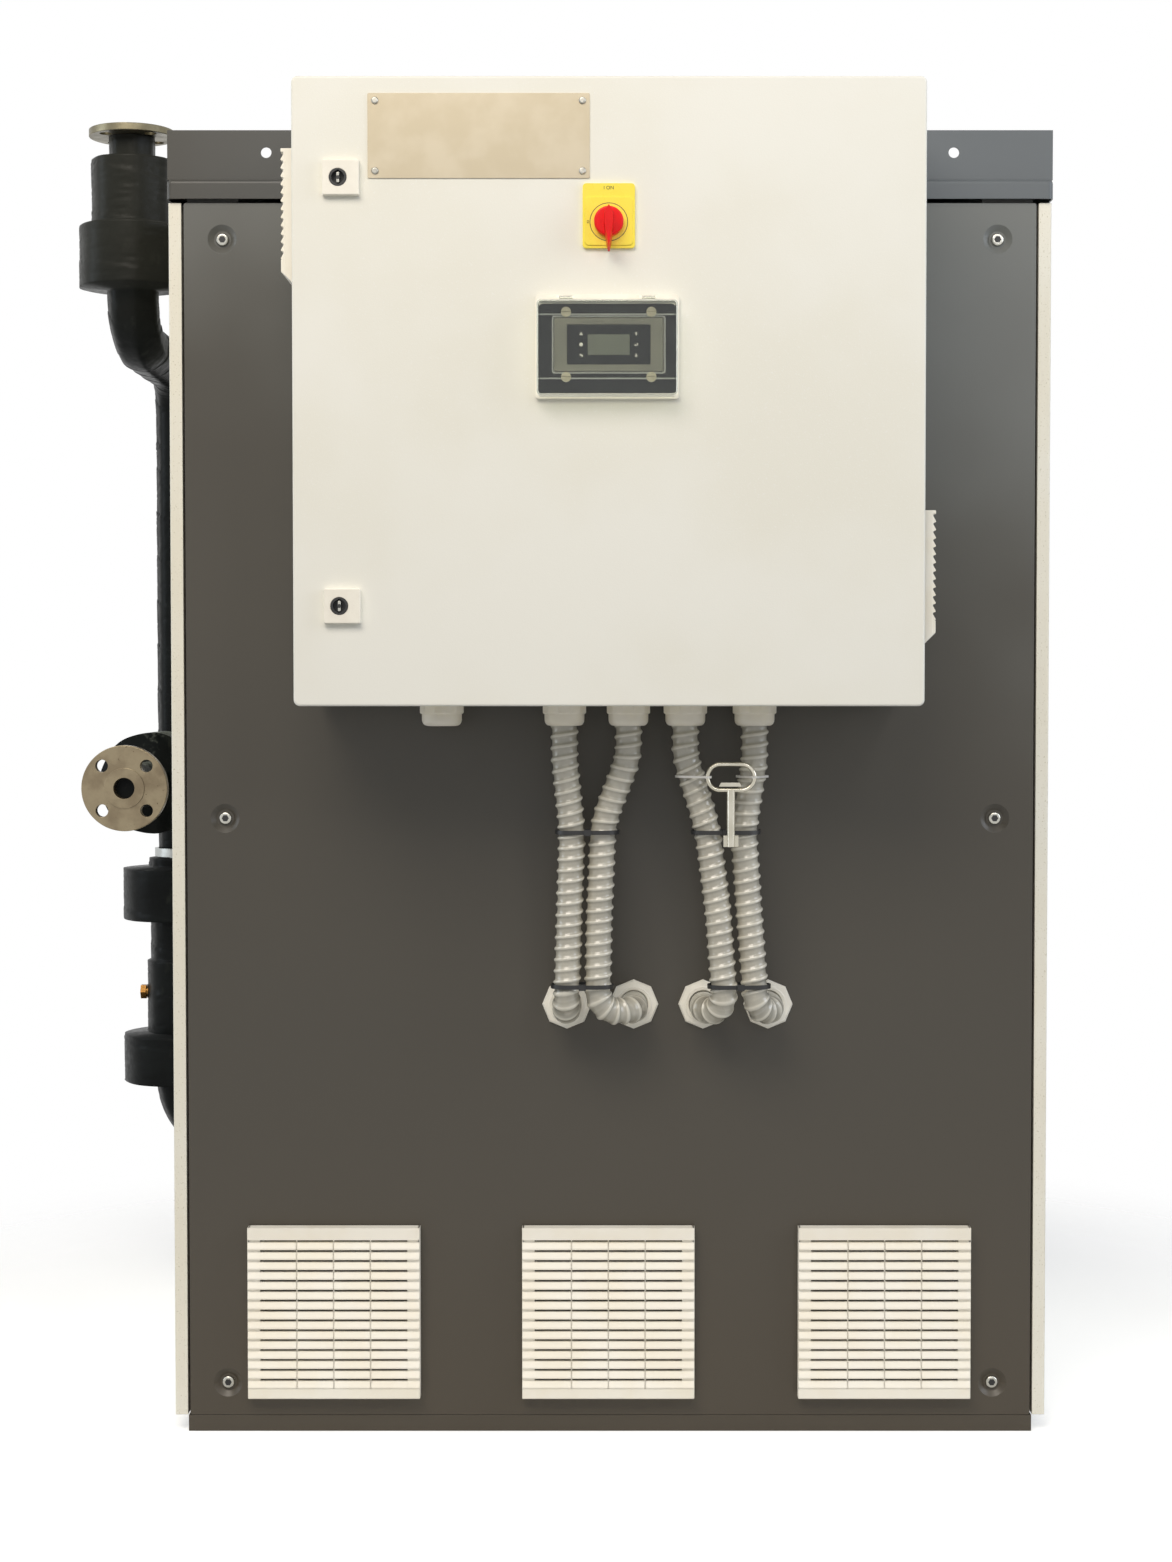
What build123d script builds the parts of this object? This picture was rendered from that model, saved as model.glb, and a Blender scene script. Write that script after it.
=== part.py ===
from build123d import *
import math
import os

# A floor-standing commercial heat pump with an electrical enclosure on its front and insulated
# water pipework on its left. Sizes are in millimetres. X is to the right, Y to the back and Z up,
# and the origin is at the centre of the base's flat bottom face.

# Cabinet
panel_width = 1000.0
cabinet_depth = 780.0
panel_top = 1453.0
base_height = 19.0
base_width = 1004.0
sheet = 2.0
sheet_corner = 2.5
tray_wall = 3.0
cut_margin = 1.0
fold_depth = 18.0
end_fold_depth = 6.0
face_gap = 0.5
side_gap = 3.0
side_thickness = 15.0
board_round = 2.0
hood_bottom = 1457.0
hood_top = 1480.0
hood_overhang = 1.0
hood_front_overhang = 6.0
hood_corner = 6.0
hood_edge = 5.0
upstand_top = 1538.0
upstand_setback = 1.0
upstand_foot = 30.0
upstand_hole_spacing = 806.0
upstand_hole_z = 1512.0
upstand_hole_radius = 6.25

# Frame of angles and flat rails inside the panels
angle_leg = 60.0
angle_wall = 3.0
angle_clearance = 1.0
rail_lift = 3.0
rail_end_gap = 2.0
rail_height = 34.0
rail_thickness = 6.0

# Panel screws, each in a pressed dimple
screw_spacing = 910.0
screw_heights = (58.0, 731.0, 1411.0)
screw_head_radius = 7.5
screw_head_height = 4.0
screw_shank_radius = 4.0
screw_shank_length = 22.0
screw_head_round = 0.6
screw_hole_clearance = 0.3
socket_radius = 2.6
dimple_radius = 17.0
dimple_floor_radius = 10.0
dimple_depth = 5.0

# Louvred filter grilles at the foot of the front panel
grille_size = 204.0
grille_proud = 20.0
grille_centres = (-327.0, -2.0, 325.0)
grille_z = 145.0
grille_slits = 15
grille_pitch = 12.1
grille_frame_size = 176.0
grille_frame_depth = 22.0
grille_flange = 2.0
cutout_clearance = 1.0
grille_wall = 2.5
grille_face = 3.0
grille_corner = 3.0
grille_bands = (16.5, 14.5)
slit_share = 0.32
slat_rise = 3.6
slat_thickness = 2.6
slat_rib = 1.6
slat_rib_depth = 4.4
mat_bar = 3.0
mat_clearance = 0.3
mat_thickness = 8.0

# Electrical enclosure
box_width = 680.0
box_centre_x = -1.0
box_bottom = 868.0
box_top = 1548.0
box_depth = 185.0
box_standoff = 15.0
box_lip = 20.0
box_corner = 4.0
spacer_radius = 15.0
bolt_radius = 5.0
bolt_head_radius = 8.5
bolt_head_height = 6.0
bolt_nut_height = 7.0
bolt_end = 9.0
bolt_clearance = 0.3
bracket_spacing_x = 560.0
bracket_heights = (965.0, 1421.0)
door_side_overhang = 6.5
door_end_overhang = 3.0
door_gap = 0.3
door_thickness = 14.7
door_corner = 7.0
door_edge = 2.5
gasket_width = 12.0
gasket_inset = 3.0

# Door hinges, beside the box and behind the door's right edge
hinge_heights = (901.0, 1440.0)
hinge_offset_x = 4.0
hinge_offset_y = 5.0
hinge_length = 60.0
hinge_middle = 24.0
hinge_joint_gap = 0.4
knuckle_radius = 3.5
pin_radius = 2.0
pin_clearance = 0.05
pin_head = (1.0, 1.5)
leaf_thickness = 3.0

# Door locks
lock_x = -293.0
lock_heights = (974.5, 1440.0)
lock_cover_width = 40.0
lock_cover_height = 38.0
lock_cover_proud = 8.0
lock_insert_shift = -3.0
lock_insert_radius = 9.5
lock_clearance = 0.3
lock_recess_radius = 7.0
lock_recess_depth = 9.0
lock_pin_radius = 2.2
lock_wing_width = 3.2
lock_wing_span = 15.5
lock_cover_corner = 1.5
lock_cover_edge = 1.0
lock_insert_proud = 0.5
cam_length = 38.0
cam_width = 16.0
cam_thickness = 3.0
cam_gap = 1.0

# Nameplate
plate_width = 242.0
plate_height = 92.0
plate_x = -143.0
plate_z = 1486.0
plate_thickness = 1.2
rivet_inset = 8.0
rivet_radius = 4.0
rivet_height = 2.2
rivet_round = 0.8

# Main switch
switch_x = -1.3
switch_plate_z = 1399.0
switch_plate_width = 57.0
switch_plate_height = 70.0
switch_plate_thickness = 4.0
switch_square_margin = 5.0
switch_square_height = 1.2
switch_corner = 4.0
switch_knob_drop = 7.0
knob_radius = 16.0
knob_base_height = 9.0
knob_height = 24.0
knob_tail = 33.0
knob_nose = 18.0
handle_half_width = (5.5, 6.0, 1.0)
handle_heights = (9.0, -6.0)
handle_sink = 3.0
handle_taper = 5.0
knob_gap = 0.4
shaft_radius = 4.0
shaft_clearance = 0.05
shaft_hole_margin = 4.0
shaft_margin = 2.0
switch_body_width = 54.0
switch_body_depth = 46.0

# Clear window over the display
window_x = -3.0
window_z = 1257.0
window_width = 157.0
window_height = 113.5
window_frame_thickness = 5.0
window_border = 9.0
lid_inset = 2.0
lid_depth = 22.0
lid_wall = 2.0
lid_gap = 0.4
lid_barrel_radius = 3.0
lid_pin_radius = 1.5
lid_barrel_length = 14.0
lid_barrel_spacing = 90.0
lid_barrel_clearance = 0.2
lid_ear = 3.0
lid_ear_gap = 0.5
lid_corner = 5.0
lid_edge = 3.0
window_screw_spacing_x = 93.0
window_screw_spacing_z = 70.5
window_screw_radius = 5.5
window_screw_height = 2.5
window_screw_slot = (1.4, 1.2)
window_corner = 4.0

# Display module
display_x = -1.4
display_z = 1259.0
bezel_width = 119.0
bezel_height = 58.0
bezel_proud = 6.0
display_face_width = 92.0
display_face_height = 44.0
display_face_recess = 1.0
display_body_depth = 42.0
display_body_clearance = 0.5
bezel_corner = 2.0
screen_width = 46.0
screen_height = 22.6
screen_recess = 0.6
key_columns = (-30.1, 29.9)
key_pitch = 11.75
key_radius = 2.6
key_proud = 0.9
key_depth = 2.4
key_clearance = 0.3
key_travel_room = 1.5
key_edge = 0.5

# Inside the enclosure
stud_height = 14.5
stud_radius = 7.0
stud_inset = 20.0
stud_tip = 9.0
plate_margin_x = 40.0
plate_margin_z = 32.0
mounting_sheet = 2.5
rail_width = 35.0
rail_depth = 7.5
rail_sheet = 1.0
rail_heights = (1010.0, 1205.0, 1400.0)
rail_length = 500.0
duct_width = 40.0
duct_depth = 55.0
duct_wall = 1.6
duct_slot = 6.0
duct_slot_pitch = 12.5
breaker_width = 17.5
breaker_height = 85.0
breaker_depth = 60.0
contactor_width = 45.0
contactor_height = 78.0
contactor_depth = 72.0
controller_width = 142.0
controller_height = 105.0
controller_depth = 58.0
terminal_width = 6.2
terminal_height = 48.0
terminal_depth = 42.0
device_gap = 0.5
device_body_share = 0.68
device_nose_share = 0.6
first_device = 14.0
second_row_start = 30.0
breaker_nose = 45.0
contactor_nose = 48.0
controller_nose = 60.0
terminal_nose = 26.0
terminal_gap = 0.4
terminal_count = 54
rail_lip = 5.0

# Side grilles of the enclosure and the cooling fan
vent_size = 147.0
vent_proud = 21.0
vent_slits = 13
vent_pitch = 10.2
vent_bands = (6.5, 8.0)
vent_front_gap = 8.0
vent_intake_z = 1404.0
vent_exhaust_z = 1007.5
vent_hole_radius = 54.0
fan_size = 119.0
fan_depth = 38.0
fan_bore_radius = 56.0
fan_rotor_radius = 53.0
fan_hub_radius = 22.0
fan_blades = 7
fan_strut_width = 5.0
fan_axle_radius = 3.0
fan_axle_clearance = 0.05
fan_corner = 6.0
fan_plate = 4.0
fan_blade_width = 26.0
fan_blade_thickness = 2.0
fan_blade_lean = 35.0
fan_root_depth = 3.0

# Conduits, their glands, nuts and ties
conduit_radius = 16.3
conduit_root_radius = 14.6
conduit_bore_radius = 12.6
conduit_pitch = 12.9
conduit_end_length = 33.0
gland_stand_off = 100.0
gland_flange_radius = 24.7
gland_flange_height = 9.0
gland_dome_height = 19.0
gland_dome_radius = 23.0
gland_mouth_radius = 20.5
gland_mouth_depth = 8.0
gland_mouth_clearance = 0.4
gland_thread_radius = 20.0
gland_thread_clearance = 0.3
gland_lock_nut = 6.0
gland_thread_end = 2.0
blank_gland_x = -192.0
conduit_top_x = (-52.0, 21.0, 86.0, 165.0)
nut_x = (-51.0, 28.0, 110.0, 187.0)
nut_z = 511.0
nut_across = 52.0
nut_thickness = 8.0
nut_thread_radius = 19.0
nut_taper = 14.0
inner_nut_thickness = 6.0
nut_thread_length = 8.0
black_tie_heights = (542.0, 720.0)
tie_width = 4.8
tie_thickness = 1.4
tie_clearance = 1.0
tie_head = 8.0

# Cabinet key, tied to the two right-hand conduits
key_x = 137.0
key_stand_off = 129.0
key_top_z = 801.0
ring_width = 58.0
ring_height = 34.0
ring_bar_radius = 2.4
ring_roundness = 0.9
key_tie_width = 2.5
key_tie_clearance = 0.95
key_shank_radius = 4.8
key_length = 96.0
key_bit_length = 13.0
key_bit_width = 17.0
key_bit_thickness = 3.0
key_bore_radius = 2.6

# Water pipework
pipe_x = -610.0
pipe_radius = 16.7
pipe_bore_radius = 12.9
branch_pipe_radius = 16.2
branch_bore_radius = 12.5
valve_y = -115.0
riser_y = 240.0
leg_z = 1330.0
branch_z = 759.0
inlet_z = 249.0
elbow_radius = 65.0
lower_elbow_radius = 76.0
lagging_radius = 34.5
lagging_clearance = 0.3
neck_radius = 31.0
neck_bottom = 1559.0
upper_lagging_radius = 53.5
valve_lagging_radius = 69.0
valve_lagging_z = (1394.0, 1473.0)
flange_radius = 54.0
flange_bolt_circle = 79.4
flange_hole_radius = 7.95
flange_holes = 4
flange_bore_radius = 13.3
flange_edge = 0.8
raised_face_radius = 25.4
raised_face_height = 1.6
top_flange_top = 1595.0
top_flange_thickness = 9.0
front_flange_y = -200.0
front_flange_thickness = 12.7
weld_neck_radius = 20.0
weld_neck_length = 12.0
branch_body_y = (-15.0, 85.0)
clamp_z = 652.0
clamp_width = 12.0
clamp_radius = 38.0
clamp_wall = 5.0
clamp_lug = 9.0
clamp_lug_reach = 10.0
collar_z = (632.0, 645.0)
collar_radius = 48.5
upper_cuff_z = (556.0, 630.0)
lower_cuff_z = (325.0, 396.0)
cuff_radius = 84.0
strainer_radius = 46.0
strainer_lower_radius = 51.0
strainer_step_z = 498.0
plug_z = 452.0
plug_radius = 11.0
plug_reach = 59.0
plug_shank_share = 0.7
plug_sink = 22.0
wall_hole_radius = 42.0
pipe_end_x = -300.0

# Refrigeration parts in the cabinet
compressor_radius = 115.0
compressor_height = 470.0
compressor_at = (220.0, 60.0)
compressor_foot = 34.0
compressor_rounds = (45.0, 20.0)
foot_plate = (260.0, 12.0, 30.0)
foot_spacing = 210.0
foot_radius = 18.0
exchanger_width = 120.0
exchanger_length = 245.0
exchanger_height = 525.0
exchanger_gap = 60.0
exchanger_x = (-300.0, -180.0)
exchanger_corner = 12.0
port_inset = 60.0
tube_radius = 11.0
tube_bend = 45.0
tube_reaches = (90.0, 140.0, 110.0)
tube_rise = 70.0
suction_drop = 130.0
port_clearance = 0.3

# Places worked out from the sizes above
front_y = -cabinet_depth / 2
box_back_y = front_y - box_standoff
box_front_y = box_back_y - box_depth
conduit_y_top = front_y - gland_stand_off
key_y = front_y - key_stand_off
door_back_y = box_front_y - door_gap
door_front_y = door_back_y - door_thickness
box_left = box_centre_x - box_width / 2
box_right = box_centre_x + box_width / 2
box_middle_z = (box_bottom + box_top) / 2
hinge_x = box_right + hinge_offset_x
hinge_y = box_front_y + hinge_offset_y
post_front_y = front_y + dimple_depth + sheet
side_inner = panel_width / 2 + side_gap
side_outer = side_inner + side_thickness
hood_half_width = side_outer + hood_overhang
plate_front_y = box_back_y - sheet - stud_height - mounting_sheet
knob_z = switch_plate_z - switch_knob_drop
vent_middle_y = box_front_y + vent_front_gap + vent_size / 2


def at_depth(y):
    """An upright plane across the object, seen from the front: its normal points to the front."""
    return Plane.XZ.offset(-y)


def at_width(x):
    """An upright plane from front to back, with its normal to the right."""
    return Plane.YZ.offset(x)


def at_height(z):
    """A level plane, with its normal up."""
    return Plane.XY.offset(z)


def block(x, y, z, mode=Mode.ADD):
    """Adds or cuts a block between pairs of X, Y and Z limits."""
    with BuildSketch(at_height(z[0])) as outline:
        with Locations(((x[0] + x[1]) / 2, (y[0] + y[1]) / 2)):
            Rectangle(x[1] - x[0], y[1] - y[0])
    extrude(outline.sketch, amount=z[1] - z[0], mode=mode)


def disc(plane, centres, radius, height, mode=Mode.ADD):
    """Adds or cuts round pads on a plane, at the given centres in that plane."""
    with BuildSketch(plane) as outline:
        with Locations(*centres):
            Circle(radius)
    extrude(outline.sketch, amount=height, mode=mode)


def pad(plane, centres, size, height, corner=0.0, mode=Mode.ADD):
    """Adds or cuts rectangular pads on a plane, with round corners where a corner is given."""
    with BuildSketch(plane) as outline:
        with Locations(*centres):
            if corner > 0:
                RectangleRounded(size[0], size[1], corner)
            else:
                Rectangle(size[0], size[1])
    extrude(outline.sketch, amount=height, mode=mode)


def save(built, name):
    """Labels a finished piece and writes it."""
    built.part.label = name
    export_step(built.part, f"parts/{name}.step")


os.makedirs("parts", exist_ok=True)

screw_places = [(side * screw_spacing / 2, z) for side in (-1, 1) for z in screw_heights]
bracket_places = [
    (box_centre_x + side * bracket_spacing_x / 2, z) for side in (-1, 1) for z in bracket_heights
]

# Base tray: a folded floor with an upturned rim
with BuildPart() as base_tray:
    block((-base_width / 2, base_width / 2), (front_y, -front_y), (0, base_height))
    block(
        (-base_width / 2 + tray_wall, base_width / 2 - tray_wall),
        (front_y + tray_wall, -front_y - tray_wall),
        (tray_wall, base_height),
        Mode.SUBTRACT,
    )
save(base_tray, "base_tray")

# Welded frame: four corner angles, and flat rails between them
post_outer_x = panel_width / 2 - sheet - angle_clearance
frame_top = hood_top - sheet
rail_levels = (
    (base_height + rail_lift, base_height + rail_lift + rail_height),
    (screw_heights[1] - rail_height / 2, screw_heights[1] + rail_height / 2),
    (screw_heights[2] - rail_height / 2, screw_heights[2] + rail_height / 2),
)
with BuildPart() as welded_frame:
    for side_x in (-1, 1):
        for side_y in (-1, 1):
            leg_x = sorted((side_x * post_outer_x, side_x * (post_outer_x - angle_leg)))
            leg_y = sorted((side_y * -post_front_y, side_y * (-post_front_y - angle_wall)))
            block(leg_x, leg_y, (tray_wall, frame_top))
            web_x = sorted((side_x * post_outer_x, side_x * (post_outer_x - angle_wall)))
            web_y = sorted((side_y * -post_front_y, side_y * (-post_front_y - angle_leg)))
            block(web_x, web_y, (tray_wall, frame_top))
    for level in rail_levels:
        for side_x in (-1, 1):
            rail_x = sorted((side_x * post_outer_x, side_x * side_inner))
            rail_y = (front_y + fold_depth + rail_end_gap, -front_y - fold_depth - rail_end_gap)
            block(rail_x, rail_y, level)
        for side_y in (-1, 1):
            rail_y = sorted(
                (
                    side_y * (-post_front_y - angle_wall),
                    side_y * (-post_front_y - angle_wall - rail_thickness),
                )
            )
            block((-post_outer_x + angle_wall, post_outer_x - angle_wall), rail_y, level)
    # Two cross rails that carry the enclosure's bolts
    for bracket_z in bracket_heights:
        block(
            (-post_outer_x + angle_wall, post_outer_x - angle_wall),
            (post_front_y + angle_wall, post_front_y + angle_wall + rail_thickness),
            (bracket_z - rail_height / 2, bracket_z + rail_height / 2),
        )
    disc(
        at_depth(post_front_y - cut_margin),
        bracket_places,
        bolt_radius + bolt_clearance,
        -(angle_wall + rail_thickness + 2 * cut_margin),
        Mode.SUBTRACT,
    )
    disc(
        at_depth(-1),
        screw_places,
        screw_shank_radius + screw_hole_clearance,
        -front_y,
        Mode.SUBTRACT,
    )
    disc(
        at_depth(1),
        screw_places,
        screw_shank_radius + screw_hole_clearance,
        front_y,
        Mode.SUBTRACT,
    )
save(welded_frame, "welded_frame")


def folded_panel():
    """Adds a sheet with its four edges folded back, and a pressed dimple and hole for each screw."""
    panel_low = base_height + face_gap
    middle = (0, (panel_low + panel_top) / 2)
    size = (panel_width, panel_top - panel_low)
    pad(at_depth(front_y), [middle], size, -fold_depth, corner=sheet_corner)
    pad(
        at_depth(front_y + sheet),
        [middle],
        (size[0] - 2 * sheet, size[1] - 2 * sheet),
        -fold_depth,
        mode=Mode.SUBTRACT,
    )
    # The folds along the top and the bottom are shallower, and pass in front of the frame
    for edge_z in (panel_low, panel_top - sheet):
        block(
            (-panel_width / 2 + sheet, panel_width / 2 - sheet),
            (front_y + end_fold_depth, front_y + fold_depth),
            (edge_z, edge_z + sheet),
            Mode.SUBTRACT,
        )
    for grow, start, mode in ((sheet, sheet, Mode.ADD), (0, 0, Mode.SUBTRACT)):
        with BuildSketch(at_depth(front_y + start)) as mouth:
            with Locations(*screw_places):
                Circle(dimple_radius + grow)
        with BuildSketch(at_depth(front_y + start + dimple_depth)) as floor:
            with Locations(*screw_places):
                Circle(dimple_floor_radius + grow)
        for upper in mouth.sketch.faces():
            lower = floor.sketch.faces().sort_by_distance(upper.center())[0]
            loft([upper, lower], mode=mode)
    disc(
        at_depth(front_y),
        screw_places,
        screw_shank_radius + screw_hole_clearance,
        -(dimple_depth + 2 * sheet),
        Mode.SUBTRACT,
    )


# Front panel, cut for the filter grilles, the enclosure's bolts and the conduit nuts
with BuildPart() as front_panel:
    folded_panel()
    pad(
        at_depth(front_y),
        [(x, grille_z) for x in grille_centres],
        (grille_frame_size + cutout_clearance, grille_frame_size + cutout_clearance),
        -sheet,
        mode=Mode.SUBTRACT,
    )
    disc(
        at_depth(front_y), bracket_places, bolt_radius + bolt_clearance, -sheet, Mode.SUBTRACT
    )
    disc(
        at_depth(front_y),
        [(x, nut_z) for x in nut_x],
        nut_thread_radius + gland_thread_clearance,
        -sheet,
        Mode.SUBTRACT,
    )
save(front_panel, "front_panel")

# Rear panel: the same folded sheet, turned round
with BuildPart(Plane.XY) as rear_blank:
    folded_panel()
with BuildPart() as rear_panel:
    add(rear_blank.part, rotation=(0, 0, 180))
save(rear_panel, "rear_panel")

# Side panels of thick pale board. The left one lets the water pipe in.
side_y = (front_y + face_gap, -front_y - face_gap)
with BuildPart() as left_side_panel:
    block((-side_outer, -side_inner), side_y, (base_height + face_gap, panel_top))
    disc(
        at_width(-side_outer),
        [(riser_y, inlet_z)],
        wall_hole_radius,
        side_thickness,
        Mode.SUBTRACT,
    )
    fillet(left_side_panel.edges().filter_by(Axis.Z).group_by(Axis.X)[0], board_round)
save(left_side_panel, "left_side_panel")

with BuildPart() as right_side_panel:
    block((side_inner, side_outer), side_y, (base_height + face_gap, panel_top))
    fillet(right_side_panel.edges().filter_by(Axis.Z).group_by(Axis.X)[-1], board_round)
save(right_side_panel, "right_side_panel")

# Roof hood: a sheet with a deep folded drip band all round
hood_y = (front_y - hood_front_overhang, -front_y + hood_front_overhang)
with BuildPart() as roof_hood:
    block((-hood_half_width, hood_half_width), hood_y, (hood_bottom, hood_top))
    fillet(roof_hood.edges().filter_by(Axis.Z), hood_corner)
    fillet(roof_hood.faces().sort_by(Axis.Z)[-1].edges(), hood_edge)
    block(
        (-hood_half_width + sheet, hood_half_width - sheet),
        (hood_y[0] + sheet, hood_y[1] - sheet),
        (hood_bottom, hood_top - sheet),
        Mode.SUBTRACT,
    )
save(roof_hood, "roof_hood")

# Upstand along the front of the hood, with two holes for slinging
upstand_y = front_y + upstand_setback
with BuildPart() as front_upstand:
    block(
        (-hood_half_width, hood_half_width), (upstand_y, upstand_y + sheet), (hood_top, upstand_top)
    )
    block(
        (-hood_half_width, hood_half_width),
        (upstand_y, upstand_y + upstand_foot),
        (hood_top, hood_top + sheet),
    )
    disc(
        at_depth(upstand_y),
        [(side * upstand_hole_spacing / 2, upstand_hole_z) for side in (-1, 1)],
        upstand_hole_radius,
        -sheet,
        Mode.SUBTRACT,
    )
save(front_upstand, "front_upstand")


# Button-head screws in the dimples of the front and rear panels
head_seat_y = front_y + dimple_depth
with BuildPart() as screw_set:
    with BuildSketch(at_depth(head_seat_y)) as seats:
        with Locations(*screw_places):
            Circle(screw_head_radius)
    extrude(seats.sketch, amount=screw_head_height)
    fillet(screw_set.faces().group_by(Axis.Y)[0].edges(), screw_head_height * screw_head_round)
    with BuildSketch(at_depth(head_seat_y - screw_head_height)) as sockets:
        with Locations(*screw_places):
            RegularPolygon(socket_radius, 6)
    extrude(sockets.sketch, amount=-screw_head_height * screw_head_round, mode=Mode.SUBTRACT)
    disc(at_depth(head_seat_y), screw_places, screw_shank_radius, -screw_shank_length)
with BuildPart() as panel_screws:
    add(screw_set.part)
    add(screw_set.part, rotation=(0, 0, 180))
save(panel_screws, "panel_screws")


def louvred_cover(size, proud, slits, pitch, top_band, side_band):
    """Adds a square louvred cover that lies in XY with its top towards +Y and its face up."""
    half = size / 2
    pad(Plane.XY, [(0, 0)], (size, size), proud, corner=grille_corner)
    pad(
        Plane.XY,
        [(0, 0)],
        (size - 2 * grille_wall, size - 2 * grille_wall),
        proud - grille_face,
        mode=Mode.SUBTRACT,
    )
    slat_width = size - 2 * side_band
    slit = pitch * slit_share
    window_top = half - top_band
    window_bottom = window_top - (slits - 1) * pitch - slit
    window_middle = (window_top + window_bottom) / 2
    window_height = window_top - window_bottom
    pad(
        Plane.XY,
        [(0, window_middle)],
        (slat_width, window_height),
        proud,
        mode=Mode.SUBTRACT,
    )
    # Slats lean outwards at their lower edge
    slat_end = grille_wall / 5
    with BuildSketch(Plane.YZ.offset(-slat_width / 2 - slat_end)) as slats:
        for i in range(slits - 1):
            upper = window_top - slit - i * pitch
            lower = upper - pitch + slit
            with BuildLine():
                Polyline(
                    (upper, proud - slat_rise - slat_thickness),
                    (lower, proud - slat_thickness),
                    (lower, proud),
                    (upper, proud - slat_rise),
                    close=True,
                )
            make_face()
    extrude(slats.sketch, amount=slat_width + 2 * slat_end)
    rib_places = [(i * slat_width / 4, window_middle) for i in (-1, 0, 1)]
    rib_plane = Plane.XY.offset(proud - 2 * slat_rib_depth)
    pad(rib_plane, rib_places, (slat_rib, window_height + cut_margin), slat_rib_depth)


# Louvred covers of the three filter grilles, with their frames and mats
with BuildPart() as grille_blank:
    louvred_cover(grille_size, grille_proud - grille_flange, grille_slits, grille_pitch, *grille_bands)
cover_y = front_y - grille_flange
with BuildPart() as louvre_covers:
    for x in grille_centres:
        with Locations(Plane((x, cover_y, grille_z), x_dir=(1, 0, 0), z_dir=(0, -1, 0))):
            add(grille_blank.part)
save(louvre_covers, "louvre_covers")

grille_places = [(x, grille_z) for x in grille_centres]
frame_opening = grille_frame_size - 2 * grille_wall
with BuildPart() as louvre_frames:
    flange_size = grille_size - 2 * grille_wall - cut_margin
    pad(at_depth(front_y), grille_places, (flange_size, flange_size), grille_flange)
    pad(at_depth(front_y), grille_places, (grille_frame_size, grille_frame_size),
        -grille_frame_depth)
    pad(at_depth(front_y - grille_flange), grille_places, (frame_opening, frame_opening),
        -(grille_frame_depth + grille_flange), mode=Mode.SUBTRACT)
    # Bars across the back hold the mat
    for x in grille_centres:
        for step in (-1, 0, 1):
            bar_z = grille_z + step * frame_opening / 4
            block(
                (x - frame_opening / 2 - cut_margin, x + frame_opening / 2 + cut_margin),
                (front_y + grille_frame_depth - mat_bar, front_y + grille_frame_depth),
                (bar_z - mat_bar / 2, bar_z + mat_bar / 2),
            )
save(louvre_frames, "louvre_frames")

with BuildPart() as filter_mats:
    mat_size = frame_opening - 2 * mat_clearance
    mat_back_y = front_y + grille_frame_depth - mat_bar - mat_clearance
    pad(at_depth(mat_back_y), grille_places, (mat_size, mat_size), mat_thickness)
save(filter_mats, "filter_mats")

# Enclosure box: five walls and an inward lip round the mouth
gland_xs = (blank_gland_x,) + conduit_top_x
stud_places = [
    (box_centre_x + sx * (box_width / 2 - plate_margin_x - stud_inset),
     box_middle_z + sz * ((box_top - box_bottom) / 2 - plate_margin_z - stud_inset))
    for sx in (-1, 1) for sz in (-1, 1)
]
with BuildPart() as enclosure_box:
    box_x = (box_left, box_right)
    block(box_x, (box_front_y, box_back_y), (box_bottom, box_top))
    fillet(enclosure_box.edges().filter_by(Axis.Y), box_corner)
    block((box_left + sheet, box_right - sheet), (box_front_y + sheet, box_back_y - sheet),
          (box_bottom + sheet, box_top - sheet), Mode.SUBTRACT)
    block((box_left + box_lip, box_right - box_lip), (box_front_y, box_front_y + sheet),
          (box_bottom + box_lip, box_top - box_lip), Mode.SUBTRACT)
    # Shouldered studs for the mounting plate
    disc(at_depth(box_back_y - sheet), stud_places, stud_radius, stud_height)
    disc(at_depth(box_back_y - sheet), stud_places, stud_radius / 2, stud_height + stud_tip)
    disc(at_depth(box_back_y), bracket_places, bolt_radius + bolt_clearance, sheet, Mode.SUBTRACT)
    disc(at_height(box_bottom), [(x, conduit_y_top) for x in gland_xs],
         gland_thread_radius + gland_thread_clearance, sheet, Mode.SUBTRACT)
    disc(at_width(box_left), [(vent_middle_y, vent_intake_z)], vent_hole_radius, sheet,
         Mode.SUBTRACT)
    disc(at_width(box_right - sheet), [(vent_middle_y, vent_exhaust_z)], vent_hole_radius, sheet,
         Mode.SUBTRACT)
    # Outer knuckles of the hinges, on leaves welded to the right wall
    for z in hinge_heights:
        for low, high in (
            (z - hinge_length / 2, z - hinge_middle / 2),
            (z + hinge_middle / 2, z + hinge_length / 2),
        ):
            block((box_right - sheet / 2, hinge_x),
                  (hinge_y - leaf_thickness / 2, hinge_y + leaf_thickness / 2), (low, high))
            disc(at_height(low), [(hinge_x, hinge_y)], knuckle_radius, high - low)
            disc(at_height(low), [(hinge_x, hinge_y)], pin_radius + pin_clearance, high - low,
                 Mode.SUBTRACT)
save(enclosure_box, "enclosure_box")

# Hinge pins, headed at the top so that they stay in their knuckles
with BuildPart() as hinge_pins:
    for z in hinge_heights:
        low = z - hinge_length / 2
        disc(at_height(low), [(hinge_x, hinge_y)], pin_radius, hinge_length)
        disc(at_height(low + hinge_length), [(hinge_x, hinge_y)], pin_radius + pin_head[0], pin_head[1])
save(hinge_pins, "hinge_pins")

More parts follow.
